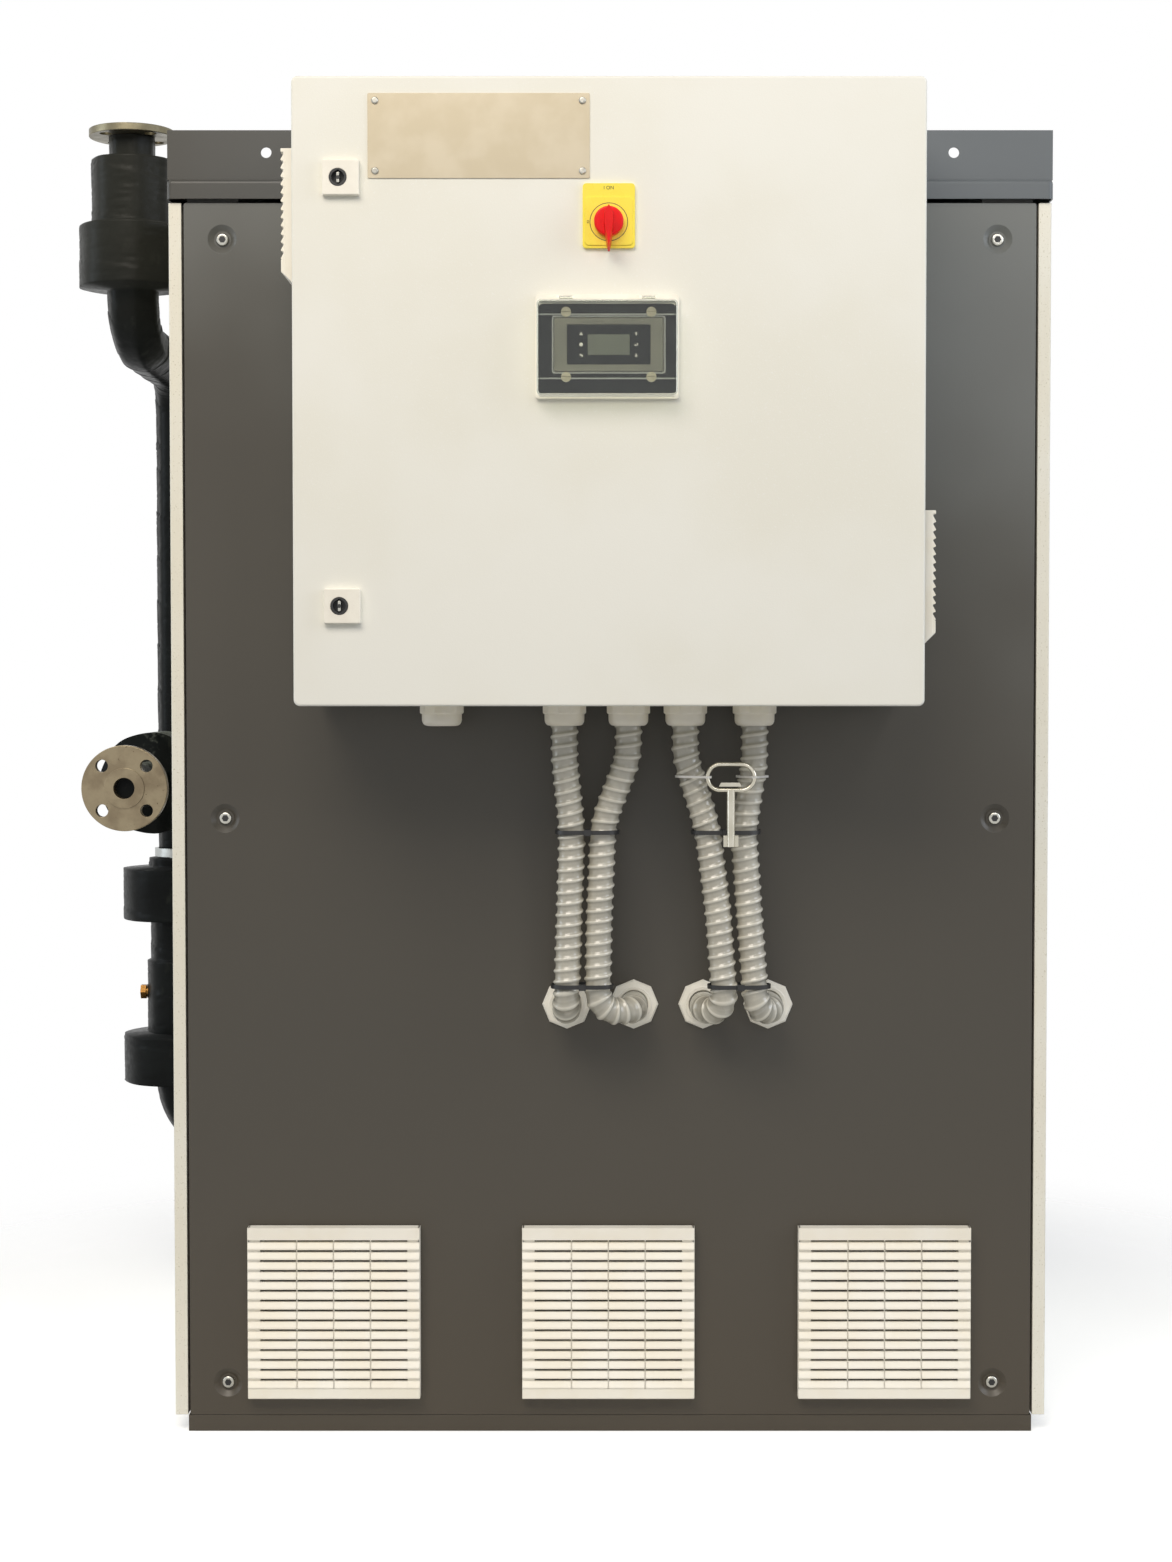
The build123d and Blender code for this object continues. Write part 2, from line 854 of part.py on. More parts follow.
# Spacers and bolts that carry the enclosure on the cabinet's cross rails
bolt_end_y = post_front_y + angle_wall + rail_thickness
with BuildPart() as wall_brackets:
    disc(at_depth(front_y), bracket_places, spacer_radius, box_standoff)
    disc(at_depth(front_y), bracket_places, bolt_radius + bolt_clearance, box_standoff,
         Mode.SUBTRACT)
    disc(at_depth(box_back_y - sheet), bracket_places, bolt_head_radius, bolt_head_height)
    disc(at_depth(bolt_end_y + bolt_end), bracket_places, bolt_radius,
         bolt_end_y + bolt_end - (box_back_y - sheet))
    with BuildSketch(at_depth(bolt_end_y)) as bolt_nuts:
        with Locations(*bracket_places):
            RegularPolygon(bolt_head_radius, 6)
    extrude(bolt_nuts.sketch, amount=-bolt_nut_height)
save(wall_brackets, "wall_brackets")

# Mounting plate on the studs, with the rails, ducts and devices on it
plate_x_limits = (box_left + plate_margin_x, box_right - plate_margin_x)
plate_z_limits = (box_bottom + plate_margin_z, box_top - plate_margin_z)
with BuildPart() as mounting_plate:
    block(plate_x_limits, (plate_front_y, plate_front_y + mounting_sheet), plate_z_limits)
    disc(at_depth(plate_front_y), stud_places, stud_radius / 2 + bolt_clearance, -mounting_sheet,
         Mode.SUBTRACT)
save(mounting_plate, "mounting_plate")

rail_x = (box_centre_x - rail_length / 2, box_centre_x + rail_length / 2)
rail_front_y = plate_front_y - rail_depth
with BuildPart() as din_rails:
    with BuildSketch(at_width(rail_x[0])) as hats:
        for z in rail_heights:
            for side in (-1, 1):
                with Locations((rail_front_y + rail_sheet / 2, z + side * (rail_width / 2 - rail_lip / 2))):
                    Rectangle(rail_sheet, rail_lip)
                web_z = z + side * (rail_width / 2 - rail_lip + rail_sheet / 2)
                with Locations(((rail_front_y + plate_front_y) / 2, web_z)):
                    Rectangle(rail_depth, rail_sheet)
            with Locations((plate_front_y - rail_sheet / 2, z)):
                Rectangle(rail_sheet, rail_width - 2 * rail_lip + rail_sheet)
    extrude(hats.sketch, amount=rail_length)
save(din_rails, "din_rails")

duct_heights = (
    (rail_heights[0] + rail_heights[1]) / 2,
    (rail_heights[1] + rail_heights[2]) / 2,
)
with BuildPart() as wiring_ducts:
    for z in duct_heights:
        duct_z = (z - duct_width / 2, z + duct_width / 2)
        block(rail_x, (plate_front_y - duct_depth, plate_front_y), duct_z)
        block((rail_x[0] - cut_margin, rail_x[1] + cut_margin),
              (plate_front_y - duct_depth + duct_wall, plate_front_y - duct_wall),
              (duct_z[0] + duct_wall, duct_z[1] - duct_wall), Mode.SUBTRACT)
        # Slots for wires through the long sides
        slot_count = int(rail_length / duct_slot_pitch) - 1
        first = box_centre_x - (slot_count - 1) * duct_slot_pitch / 2
        pad(at_height(duct_z[0] - cut_margin),
            [(first + i * duct_slot_pitch, plate_front_y - duct_depth * 0.55)
             for i in range(slot_count)],
            (duct_slot, duct_depth * 0.7), duct_width + 2 * cut_margin, mode=Mode.SUBTRACT)
save(wiring_ducts, "wiring_ducts")


def device(x, z, width, height, depth, nose):
    """Adds a rail-mounted device: a body on the rail, and a narrower nose in front of it."""
    back = rail_front_y
    block((x, x + width), (back - depth * device_body_share, back), (z - height / 2, z + height / 2))
    block((x, x + width), (back - depth, back - depth * device_nose_share),
          (z - nose / 2, z + nose / 2))


# Breakers and contactors on the upper rail, the controller on the middle one
with BuildPart() as switchgear:
    place = rail_x[0] + first_device
    for i in range(9):
        device(place, rail_heights[2], breaker_width, breaker_height, breaker_depth,
               breaker_nose)
        place += breaker_width + device_gap
    place += 24
    for i in range(4):
        device(place, rail_heights[2], contactor_width, contactor_height, contactor_depth,
               contactor_nose)
        place += contactor_width + device_gap
    place = rail_x[0] + second_row_start
    device(place, rail_heights[1], controller_width, controller_height, controller_depth,
           controller_nose)
    place += controller_width + 40
    for i in range(4):
        device(place, rail_heights[1], breaker_width * 2, breaker_height, breaker_depth,
               breaker_nose)
        place += breaker_width * 2 + device_gap
save(switchgear, "switchgear")

with BuildPart() as terminal_blocks:
    for i in range(terminal_count):
        x = rail_x[0] + second_row_start + i * (terminal_width + terminal_gap)
        device(x, rail_heights[0], terminal_width, terminal_height, terminal_depth,
               terminal_nose)
save(terminal_blocks, "terminal_blocks")

# Side grilles of the enclosure: intake high on the left, exhaust low on the right
with BuildPart() as vent_blank:
    louvred_cover(vent_size, vent_proud, vent_slits, vent_pitch, *vent_bands)
vent_seats = (
    Plane((box_left, vent_middle_y, vent_intake_z), x_dir=(0, -1, 0), z_dir=(-1, 0, 0)),
    Plane((box_right, vent_middle_y, vent_exhaust_z), x_dir=(0, 1, 0), z_dir=(1, 0, 0)),
)
with BuildPart() as side_grilles:
    for seat in vent_seats:
        with Locations(seat):
            add(vent_blank.part)
save(side_grilles, "side_grilles")

# Cooling fan behind the intake grille, on the box's left wall
fan_axis = [(vent_middle_y, vent_intake_z)]
fan_wall_x = box_left + sheet
with BuildPart() as fan_housing:
    pad(at_width(fan_wall_x), fan_axis, (fan_size, fan_size), fan_depth, corner=fan_corner)
    disc(at_width(fan_wall_x), fan_axis, fan_bore_radius, fan_depth, Mode.SUBTRACT)
    # Motor cup held by four struts on the inner side
    disc(at_width(fan_wall_x + fan_depth - fan_plate), fan_axis, fan_hub_radius, fan_plate)
    for turn in (45, 135):
        with BuildSketch(at_width(fan_wall_x + fan_depth - fan_plate)) as strut:
            with Locations(Location(fan_axis[0], turn)):
                Rectangle(2 * fan_bore_radius + fan_plate, fan_strut_width)
        extrude(strut.sketch, amount=fan_plate)
    disc(at_width(fan_wall_x + 1.5 * fan_plate), fan_axis, fan_axle_radius, fan_depth - 2 * fan_plate)
save(fan_housing, "fan_housing")

with BuildPart() as fan_rotor:
    disc(at_width(fan_wall_x + fan_plate), fan_axis, fan_hub_radius, fan_depth - 2.5 * fan_plate)
    for i in range(fan_blades):
        lean = math.radians(fan_blade_lean)
        turn = 2 * math.pi * i / fan_blades
        out = Vector(0, math.cos(turn), math.sin(turn))
        across = Vector(0, -math.sin(turn), math.cos(turn))
        chord = Vector(math.cos(lean), 0, 0) + across * math.sin(lean)
        root = Vector(fan_wall_x + fan_depth / 2 - fan_plate / 4, *fan_axis[0])
        foot = Plane(root + out * (fan_hub_radius - fan_root_depth), x_dir=chord, z_dir=out)
        with BuildSketch(foot) as blade:
            Rectangle(fan_blade_width, fan_blade_thickness)
        extrude(blade.sketch, amount=fan_rotor_radius - fan_hub_radius + fan_root_depth)
    disc(at_width(fan_wall_x), fan_axis, fan_axle_radius + fan_axle_clearance, fan_depth,
         Mode.SUBTRACT)
save(fan_rotor, "fan_rotor")

# Door: a flat tray with round corners, cut for the devices that it carries
door_x = (box_left - door_side_overhang, box_right + door_side_overhang)
door_z = (box_bottom - door_end_overhang, box_top + door_end_overhang)
door_middle = ((door_x[0] + door_x[1]) / 2, (door_z[0] + door_z[1]) / 2)
door_size = (door_x[1] - door_x[0], door_z[1] - door_z[0])
insert_x = lock_x + lock_insert_shift
display_cut = (
    display_face_width - 2 * display_body_clearance, display_face_height + 2 * display_body_clearance
)
window_screw_places = [
    (display_x + sx * window_screw_spacing_x / 2, display_z + sz * window_screw_spacing_z / 2)
    for sx in (-1, 1) for sz in (-1, 1)
]
with BuildPart() as door_panel:
    pad(at_depth(door_back_y), [door_middle], door_size, door_thickness, corner=door_corner)
    fillet(door_panel.faces().sort_by(Axis.Y)[0].edges(), door_edge)
    pad(at_depth(door_back_y), [door_middle],
        (door_size[0] - 2 * sheet, door_size[1] - 2 * sheet), door_thickness - sheet,
        corner=door_corner - sheet, mode=Mode.SUBTRACT)
    disc(at_depth(door_back_y), [(insert_x, z) for z in lock_heights],
         lock_insert_radius + lock_clearance, door_thickness, Mode.SUBTRACT)
    disc(at_depth(door_back_y), [(switch_x, knob_z)], shaft_radius + shaft_hole_margin, door_thickness,
         Mode.SUBTRACT)
    pad(at_depth(door_back_y), [(display_x, display_z)], display_cut, door_thickness,
        mode=Mode.SUBTRACT)
    # Middle knuckles of the hinges, on leaves from the door's right edge
    for z in hinge_heights:
        low = z - hinge_middle / 2 + hinge_joint_gap
        high = z + hinge_middle / 2 - hinge_joint_gap
        block((hinge_x - pin_head[0], door_x[1]), (door_back_y - leaf_thickness, hinge_y), (low, high))
        disc(at_height(low), [(hinge_x, hinge_y)], knuckle_radius, high - low)
        disc(at_height(low), [(hinge_x, hinge_y)], pin_radius + pin_clearance, high - low,
             Mode.SUBTRACT)
save(door_panel, "door_panel")

# Gasket round the inside of the door, which meets the box's lip
gasket_x = (box_left + gasket_inset, box_right - gasket_inset)
gasket_z = (box_bottom + gasket_inset, box_top - gasket_inset)
with BuildPart() as door_gasket:
    block(gasket_x, (door_front_y + sheet, door_back_y), gasket_z)
    block((gasket_x[0] + gasket_width, gasket_x[1] - gasket_width),
          (door_front_y + sheet, door_back_y),
          (gasket_z[0] + gasket_width, gasket_z[1] - gasket_width), Mode.SUBTRACT)
save(door_gasket, "door_gasket")

# Bare nameplate
with BuildPart() as nameplate:
    pad(at_depth(door_front_y), [(plate_x, plate_z)], (plate_width, plate_height),
        plate_thickness, corner=lock_cover_corner)
save(nameplate, "nameplate")

# Domed rivets of the nameplate and slotted screws of the window frame
rivet_places = [
    (plate_x + sx * (plate_width / 2 - rivet_inset), plate_z + sz * (plate_height / 2 - rivet_inset))
    for sx in (-1, 1) for sz in (-1, 1)
]
frame_face_y = door_front_y - window_frame_thickness
with BuildPart() as door_fasteners:
    disc(at_depth(door_front_y - plate_thickness), rivet_places, rivet_radius, rivet_height)
    fillet(door_fasteners.faces().group_by(Axis.Y)[0].edges(), rivet_height * rivet_round)
    disc(at_depth(frame_face_y), window_screw_places, window_screw_radius, window_screw_height)
    pad(at_depth(frame_face_y - window_screw_height), window_screw_places,
        (2 * window_screw_radius + cut_margin, window_screw_slot[0]), -window_screw_slot[1],
        mode=Mode.SUBTRACT)
save(door_fasteners, "door_fasteners")

# Square lock covers on the door's left edge
with BuildPart() as lock_housings:
    pad(at_depth(door_front_y), [(lock_x, z) for z in lock_heights],
        (lock_cover_width, lock_cover_height), lock_cover_proud, corner=lock_cover_corner)
    fillet(lock_housings.faces().group_by(Axis.Y)[0].edges(), lock_cover_edge)
    disc(at_depth(door_front_y), [(insert_x, z) for z in lock_heights],
         lock_insert_radius + lock_clearance, lock_cover_proud, Mode.SUBTRACT)
save(lock_housings, "lock_housings")

# Double-bit inserts, each with its cam behind the box's lip. The cams hang down when unlocked.
insert_face_y = door_front_y - lock_cover_proud - lock_insert_proud
cam_front_y = box_front_y + sheet + cam_gap
for lock_name, z in (("lock_lower", lock_heights[0]), ("lock_upper", lock_heights[1])):
    with BuildPart() as lock:
        disc(at_depth(cam_front_y), [(insert_x, z)], lock_insert_radius,
             cam_front_y - insert_face_y)
        disc(at_depth(insert_face_y), [(insert_x, z)], lock_recess_radius, -lock_recess_depth,
             Mode.SUBTRACT)
        pad(at_depth(insert_face_y), [(insert_x, z)], (lock_wing_width, lock_wing_span),
            -lock_recess_depth, mode=Mode.SUBTRACT)
        disc(at_depth(insert_face_y + lock_recess_depth), [(insert_x, z)], lock_pin_radius,
             lock_recess_depth - 1)
        pad(at_depth(cam_front_y + cam_thickness), [(insert_x, z - cam_length / 2 + cam_width / 2)],
            (cam_width, cam_length + cam_width), cam_thickness, corner=cam_width / 2 - 0.1)
    save(lock, lock_name)

# Main switch: yellow plate, red knob on a shaft, and the switch body inside the door
with BuildPart() as switch_plate:
    pad(at_depth(door_front_y), [(switch_x, switch_plate_z)],
        (switch_plate_width, switch_plate_height), switch_plate_thickness, corner=switch_corner)
    square = switch_plate_width - switch_square_margin
    pad(at_depth(door_front_y - switch_plate_thickness), [(switch_x, knob_z + 1)],
        (square, square), switch_square_height, corner=switch_corner)
    disc(at_depth(door_front_y), [(switch_x, knob_z)], shaft_radius + shaft_hole_margin,
         switch_plate_thickness + 2 * switch_square_height, Mode.SUBTRACT)
save(switch_plate, "switch_plate")

knob_back_y = door_front_y - switch_plate_thickness - switch_square_height - knob_gap
with BuildPart() as switch_knob:
    disc(at_depth(knob_back_y), [(switch_x, knob_z)], knob_radius, knob_base_height)
    fillet(switch_knob.faces().sort_by(Axis.Y)[0].edges(), 2)
    # Handle: a ridge that tapers to a point below the disc
    half_nose, half_middle, half_tail = handle_half_width
    high = knob_z + handle_heights[0]
    low = knob_z + handle_heights[1]
    with BuildSketch(at_depth(knob_back_y - knob_base_height + handle_sink)) as handle_foot:
        with BuildLine():
            Polyline(
                (switch_x - half_nose, high),
                (switch_x, knob_z + knob_nose),
                (switch_x + half_nose, high),
                (switch_x + half_middle, low),
                (switch_x + half_tail, knob_z - knob_tail),
                (switch_x - half_tail, knob_z - knob_tail),
                (switch_x - half_middle, low),
                close=True,
            )
        make_face()
    extrude(handle_foot.sketch, amount=knob_height - knob_base_height + handle_sink,
            taper=handle_taper)
    disc(at_depth(knob_back_y), [(switch_x, knob_z)], shaft_radius,
         -(door_back_y - shaft_margin - knob_back_y))
save(switch_knob, "switch_knob")

switch_body_front_y = door_front_y + sheet
with BuildPart() as switch_body:
    pad(at_depth(switch_body_front_y), [(switch_x, knob_z)],
        (switch_body_width, switch_body_width), -switch_body_depth, corner=3)
    disc(at_depth(switch_body_front_y), [(switch_x, knob_z)], shaft_radius + shaft_clearance,
         -(door_thickness + shaft_margin), Mode.SUBTRACT)
save(switch_body, "switch_body")

# Window frame round the display, with the two ears of the lid's hinge
lid_width = window_width - 2 * lid_inset
lid_height = window_height - 2 * lid_inset - 2 * lid_barrel_radius
lid_middle_z = window_z - lid_barrel_radius
lid_back_y = frame_face_y - lid_gap
lid_axis_y = lid_back_y - lid_barrel_radius
lid_axis_z = window_z + window_height / 2 - lid_inset - lid_barrel_radius
barrel_centres = [window_x + side * lid_barrel_spacing / 2 for side in (-1, 1)]
with BuildPart() as window_frame:
    pad(at_depth(door_front_y), [(window_x, window_z)], (window_width, window_height),
        window_frame_thickness, corner=window_corner)
    pad(at_depth(door_front_y), [(display_x, display_z)],
        (bezel_width + 2 * display_body_clearance, bezel_height + 2 * display_body_clearance),
        window_frame_thickness, mode=Mode.SUBTRACT)
    for x in barrel_centres:
        for side in (-1, 1):
            ear_x = x + side * (lid_barrel_length / 2 + lid_ear_gap + lid_ear / 2)
            block((ear_x - lid_ear / 2, ear_x + lid_ear / 2), (lid_axis_y, frame_face_y + cut_margin),
                  (lid_axis_z - lid_barrel_radius, lid_axis_z + lid_barrel_radius))
            disc(at_width(ear_x - lid_ear / 2), [(lid_axis_y, lid_axis_z)], lid_barrel_radius, lid_ear)
        disc(at_width(x - lid_barrel_length / 2 - cut_margin), [(lid_axis_y, lid_axis_z)],
             lid_pin_radius, lid_barrel_length + 2 * cut_margin)
save(window_frame, "window_frame")

# Clear lid: a shallow cover open at the back, with two barrels on its top edge
with BuildPart() as window_lid:
    pad(at_depth(lid_back_y), [(window_x, lid_middle_z)], (lid_width, lid_height), lid_depth,
        corner=lid_corner)
    fillet(window_lid.faces().sort_by(Axis.Y)[0].edges(), lid_edge)
    pad(at_depth(lid_back_y), [(window_x, lid_middle_z)],
        (lid_width - 2 * lid_wall, lid_height - 2 * lid_wall), lid_depth - lid_wall,
        corner=lid_corner - lid_wall,
        mode=Mode.SUBTRACT)
    for x in barrel_centres:
        barrel_x = (x - lid_barrel_length / 2, x + lid_barrel_length / 2)
        block(barrel_x, (lid_axis_y - lid_barrel_radius, lid_axis_y),
              (lid_middle_z + lid_height / 2 - lid_pin_radius, lid_axis_z))
        disc(at_width(barrel_x[0]), [(lid_axis_y, lid_axis_z)], lid_barrel_radius - lid_barrel_clearance,
             lid_barrel_length)
        disc(at_width(barrel_x[0]), [(lid_axis_y, lid_axis_z)], lid_pin_radius + pin_clearance,
             lid_barrel_length, Mode.SUBTRACT)
save(window_lid, "window_lid")

# Display module: a bezel on the door, a recessed face and a body through the door
key_places = [
    (display_x + column, display_z + row * key_pitch) for column in key_columns for row in (1, 0, -1)
]
display_face_y = door_front_y - bezel_proud + display_face_recess
with BuildPart() as display_module:
    pad(at_depth(door_front_y), [(display_x, display_z)], (bezel_width, bezel_height), bezel_proud,
        corner=bezel_corner)
    pad(at_depth(door_front_y - bezel_proud), [(display_x, display_z)],
        (display_face_width, display_face_height), -display_face_recess, corner=bezel_corner / 2,
        mode=Mode.SUBTRACT)
    pad(at_depth(display_face_y), [(display_x, display_z)], (screen_width, screen_height),
        -screen_recess, mode=Mode.SUBTRACT)
    pad(at_depth(door_front_y), [(display_x, display_z)],
        (display_cut[0] - 2 * display_body_clearance, display_cut[1] - 2 * display_body_clearance),
        -display_body_depth)
    disc(at_depth(display_face_y), key_places, key_radius + key_clearance,
         -(key_depth + key_travel_room), Mode.SUBTRACT)
save(display_module, "display_module")

key_names = ("key_alarm", "key_program", "key_escape", "key_up", "key_enter", "key_down")
for name, place in zip(key_names, key_places):
    with BuildPart() as display_key:
        disc(at_depth(display_face_y + key_depth), [place], key_radius, key_depth + key_proud)
        fillet(display_key.faces().sort_by(Axis.Y)[0].edges(), key_edge)
    save(display_key, name)


def gland(x, mouth):
    """Adds a gland under the box: thread, lock nut, ribbed flange and domed nut."""
    centre = [(x, conduit_y_top)]
    with BuildSketch(at_height(box_bottom - gland_flange_height)) as flange:
        with Locations(*centre):
            RegularPolygon(gland_flange_radius, 12)
    extrude(flange.sketch, amount=gland_flange_height)
    with BuildSketch(at_height(box_bottom - gland_flange_height)) as dome_top:
        with Locations(*centre):
            Circle(gland_dome_radius)
    with BuildSketch(at_height(box_bottom - gland_flange_height - gland_dome_height)) as dome_end:
        with Locations(*centre):
            Circle(gland_mouth_radius)
    loft([dome_top.sketch, dome_end.sketch])
    disc(at_height(box_bottom), centre, gland_thread_radius, sheet + gland_lock_nut + gland_thread_end)
    with BuildSketch(at_height(box_bottom + sheet)) as nut:
        with Locations(*centre):
            RegularPolygon(gland_flange_radius, 6)
    extrude(nut.sketch, amount=gland_lock_nut)
    if mouth:
        low = box_bottom - gland_flange_height - gland_dome_height
        disc(at_height(low), centre, conduit_radius + gland_mouth_clearance, gland_mouth_depth,
             Mode.SUBTRACT)
        disc(at_height(low), centre, conduit_bore_radius,
             gland_dome_height + gland_flange_height + sheet + gland_lock_nut + gland_thread_end,
             Mode.SUBTRACT)


with BuildPart() as conduit_glands:
    gland(blank_gland_x, mouth=False)
    for x in conduit_top_x:
        gland(x, mouth=True)
save(conduit_glands, "conduit_glands")

# White nuts where the conduits enter the front panel
nut_places = [(x, nut_z) for x in nut_x]
nut_front_y = front_y - nut_thickness
with BuildPart() as conduit_nuts:
    for place in nut_places:
        with BuildSketch(at_depth(front_y)) as nut:
            with Locations(Location((*place, 0), 22.5)):
                RegularPolygon(nut_across / 2, 8, major_radius=False)
        extrude(nut.sketch, amount=nut_thickness, taper=nut_taper)
        with BuildSketch(at_depth(front_y + sheet)) as inner_nut:
            with Locations(place):
                RegularPolygon(nut_across / 2 - 2, 6, major_radius=False)
        extrude(inner_nut.sketch, amount=-inner_nut_thickness)
    disc(at_depth(front_y), nut_places, nut_thread_radius, -(sheet + nut_thread_length))
    disc(at_depth(nut_front_y), nut_places, conduit_bore_radius,
         -(nut_thickness + sheet + nut_thread_length), Mode.SUBTRACT)
save(conduit_nuts, "conduit_nuts")

# Conduit routes: each is a list of points, as width, distance in front of the front panel and height,
# and the radius of its bend at each inner point
conduit_top_z = box_bottom - gland_flange_height - gland_dome_height + gland_mouth_depth
routes = (
    (((-52, 100, 802), (-43.5, 94, 722), (-47, 86, 620), (-50.5, 84, nut_z)),
     (200, 300, 600, 28)),
    (((21, 100, 806), (-8, 94, 730), (-12.5, 86, 620), (-14.5, 84, nut_z), (28, 60, nut_z)),
     (80, 130, 600, 26, 27)),
    (((86, 100, 806), (111, 95, 728), (124, 89, 630), (133, 86, nut_z), (110, 58, nut_z)),
     (90, 300, 500, 25, 26)),
    (((165, 100, 800), (153, 94, 722), (160.5, 86, 620), (169, 84, nut_z), (187, 53, nut_z)),
     (150, 180, 600, 25, 26)),
)


def conduit_wire(number):
    """The centre line of a conduit from its gland to its nut, as straight runs and arcs."""
    bends, radii = routes[number]
    corners = [(x, front_y - stand_off, z) for x, stand_off, z in bends]
    start = (conduit_top_x[number], conduit_y_top, conduit_top_z)
    end = (nut_x[number], nut_front_y, nut_z)
    with BuildLine() as line:
        FilletPolyline(start, *corners, end, radius=list(radii))
    return line.wires()[0]


def ring_on(wire, along, radius):
    """A circle round a wire, square to it, at a distance along it."""
    share = along / wire.length
    with BuildSketch(Plane(wire @ share, x_dir=(1, 0, 0), z_dir=wire % share)) as ring:
        Circle(radius)
    return ring.sketch


def ribbed_hose(wire):
    """Adds a hose along a wire: a plain cuff at each end, ribs between them, and its bore."""
    length = wire.length
    cuff = conduit_pitch * 0.7
    ribs = round((length - 2 * cuff) / conduit_pitch)
    pitch = (length - 2 * cuff) / ribs
    rings = [ring_on(wire, 0, conduit_root_radius)]
    for i in range(ribs):
        foot = cuff + i * pitch
        rings.append(ring_on(wire, foot + pitch * 0.25, conduit_root_radius))
        rings.append(ring_on(wire, foot + pitch * 0.42, conduit_radius))
        rings.append(ring_on(wire, foot + pitch * 0.58, conduit_radius))
        rings.append(ring_on(wire, foot + pitch * 0.75, conduit_root_radius))
    rings.append(ring_on(wire, length, conduit_root_radius))
    loft(rings, ruled=True)
    bore = [ring_on(wire, length * i / (3 * ribs), conduit_bore_radius) for i in range(3 * ribs + 1)]
    loft(bore, ruled=True, mode=Mode.SUBTRACT)
    return ribs


def conduit(number):
    """Builds one conduit and prints what was measured on it."""
    wire = conduit_wire(number)
    with BuildPart() as hose:
        ribs = ribbed_hose(wire)
    own_gap = min(
        ((wire @ (i / 60)) - (wire @ (j / 60))).length - 2 * conduit_radius
        for i in range(61) for j in range(i + 12, 61)
    )
    print(f"conduit {number + 1}: {wire.length:.0f} mm long, {ribs} ribs, bend radii "
          f"{routes[number][1]}, least gap to itself {own_gap:.1f} mm")
    return hose.part


conduits = [conduit(number) for number in range(4)]
with BuildPart() as conduit_pair_left:
    add(conduits[0])
    add(conduits[1])
save(conduit_pair_left, "conduit_pair_left")
with BuildPart() as conduit_pair_right:
    add(conduits[2])
    add(conduits[3])
save(conduit_pair_right, "conduit_pair_right")


def conduit_point(number, z):
    """Where a conduit's centre line passes a height."""
    wire = conduit_wire(number)
    low, high = 0.0, 1.0
    for _ in range(40):
        middle = (low + high) / 2
        if (wire @ middle).Z > z:
            low = middle
        else:
            high = middle
    return wire @ low


def band(first, second, radius, width, thickness):
    """Adds a tie round two points at one height: a flat band that follows both circles."""
    run = Vector(second.X - first.X, second.Y - first.Y, 0)
    middle = (first + second) * 0.5
    plane = Plane(middle - Vector(0, 0, width / 2), x_dir=run, z_dir=(0, 0, 1))
    with BuildSketch(plane) as loop:
        SlotCenterToCenter(run.length, 2 * (radius + thickness))
        SlotCenterToCenter(run.length, 2 * radius, mode=Mode.SUBTRACT)
    extrude(loop.sketch, amount=width)
    # The tie's lock, at the front between the two
    head = Plane(middle + plane.y_dir * -(radius + thickness / 2), x_dir=run, z_dir=-plane.y_dir)
    with BuildSketch(head) as lock_face:
        Rectangle(tie_head, width + 2)
    extrude(lock_face.sketch, amount=tie_head * 0.6)


with BuildPart() as cable_ties:
    for z in black_tie_heights:
        for pair in ((0, 1), (2, 3)):
            band(conduit_point(pair[0], z), conduit_point(pair[1], z),
                 conduit_radius + tie_clearance, tie_width, tie_thickness)
save(cable_ties, "cable_ties")

# Cabinet key: a flat oval ring with round edges, a shank and a hollow double bit at its end
ring_middle_z = key_top_z - ring_height / 2
ring_bar = 2 * ring_bar_radius
with BuildPart() as door_key:
    with BuildSketch(at_depth(key_y + ring_bar_radius)) as ring_loop:
        with Locations((key_x, ring_middle_z)):
            SlotOverall(ring_width, ring_height)
            SlotOverall(ring_width - 2 * ring_bar, ring_height - 2 * ring_bar, mode=Mode.SUBTRACT)
    extrude(ring_loop.sketch, amount=ring_bar)
    fillet(door_key.faces().filter_by(Axis.Y).edges(), ring_bar_radius * ring_roundness)
    shank_top = key_top_z - ring_height + ring_bar_radius
    shank_length = key_length - ring_height + ring_bar_radius
    disc(at_height(shank_top), [(key_x, key_y)], key_shank_radius, -shank_length)
    bit_low = key_top_z - key_length
    block((key_x - key_bit_width / 2, key_x + key_bit_width / 2),
          (key_y - key_bit_thickness / 2, key_y + key_bit_thickness / 2),
          (bit_low, bit_low + key_bit_length))
    disc(at_height(bit_low), [(key_x, key_y)], key_bore_radius, key_bit_length, Mode.SUBTRACT)
save(door_key, "door_key")

# White ties: one round each right-hand conduit and the near end of the key's ring
with BuildPart() as key_ties:
    for number, side in ((2, -1), (3, 1)):
        end_x = key_x + side * (ring_width / 2 - ring_bar_radius)
        held = conduit_point(number, ring_middle_z)
        ring_end = Vector(end_x, key_y, held.Z)
        span = Vector(ring_end.X - held.X, ring_end.Y - held.Y, 0)
        plane = Plane(held - Vector(0, 0, key_tie_width / 2), x_dir=span, z_dir=(0, 0, 1))
        hold_radius = conduit_radius + tie_clearance
        for grow, mode in ((tie_thickness, Mode.ADD), (0, Mode.SUBTRACT)):
            big = hold_radius + grow
            small = ring_bar_radius + key_tie_clearance + grow
            with BuildSketch(plane) as loop:
                Circle(big)
                with Locations((span.length, 0)):
                    Circle(small)
                make_hull()
            extrude(loop.sketch, amount=key_tie_width, mode=mode)
save(key_ties, "key_ties")


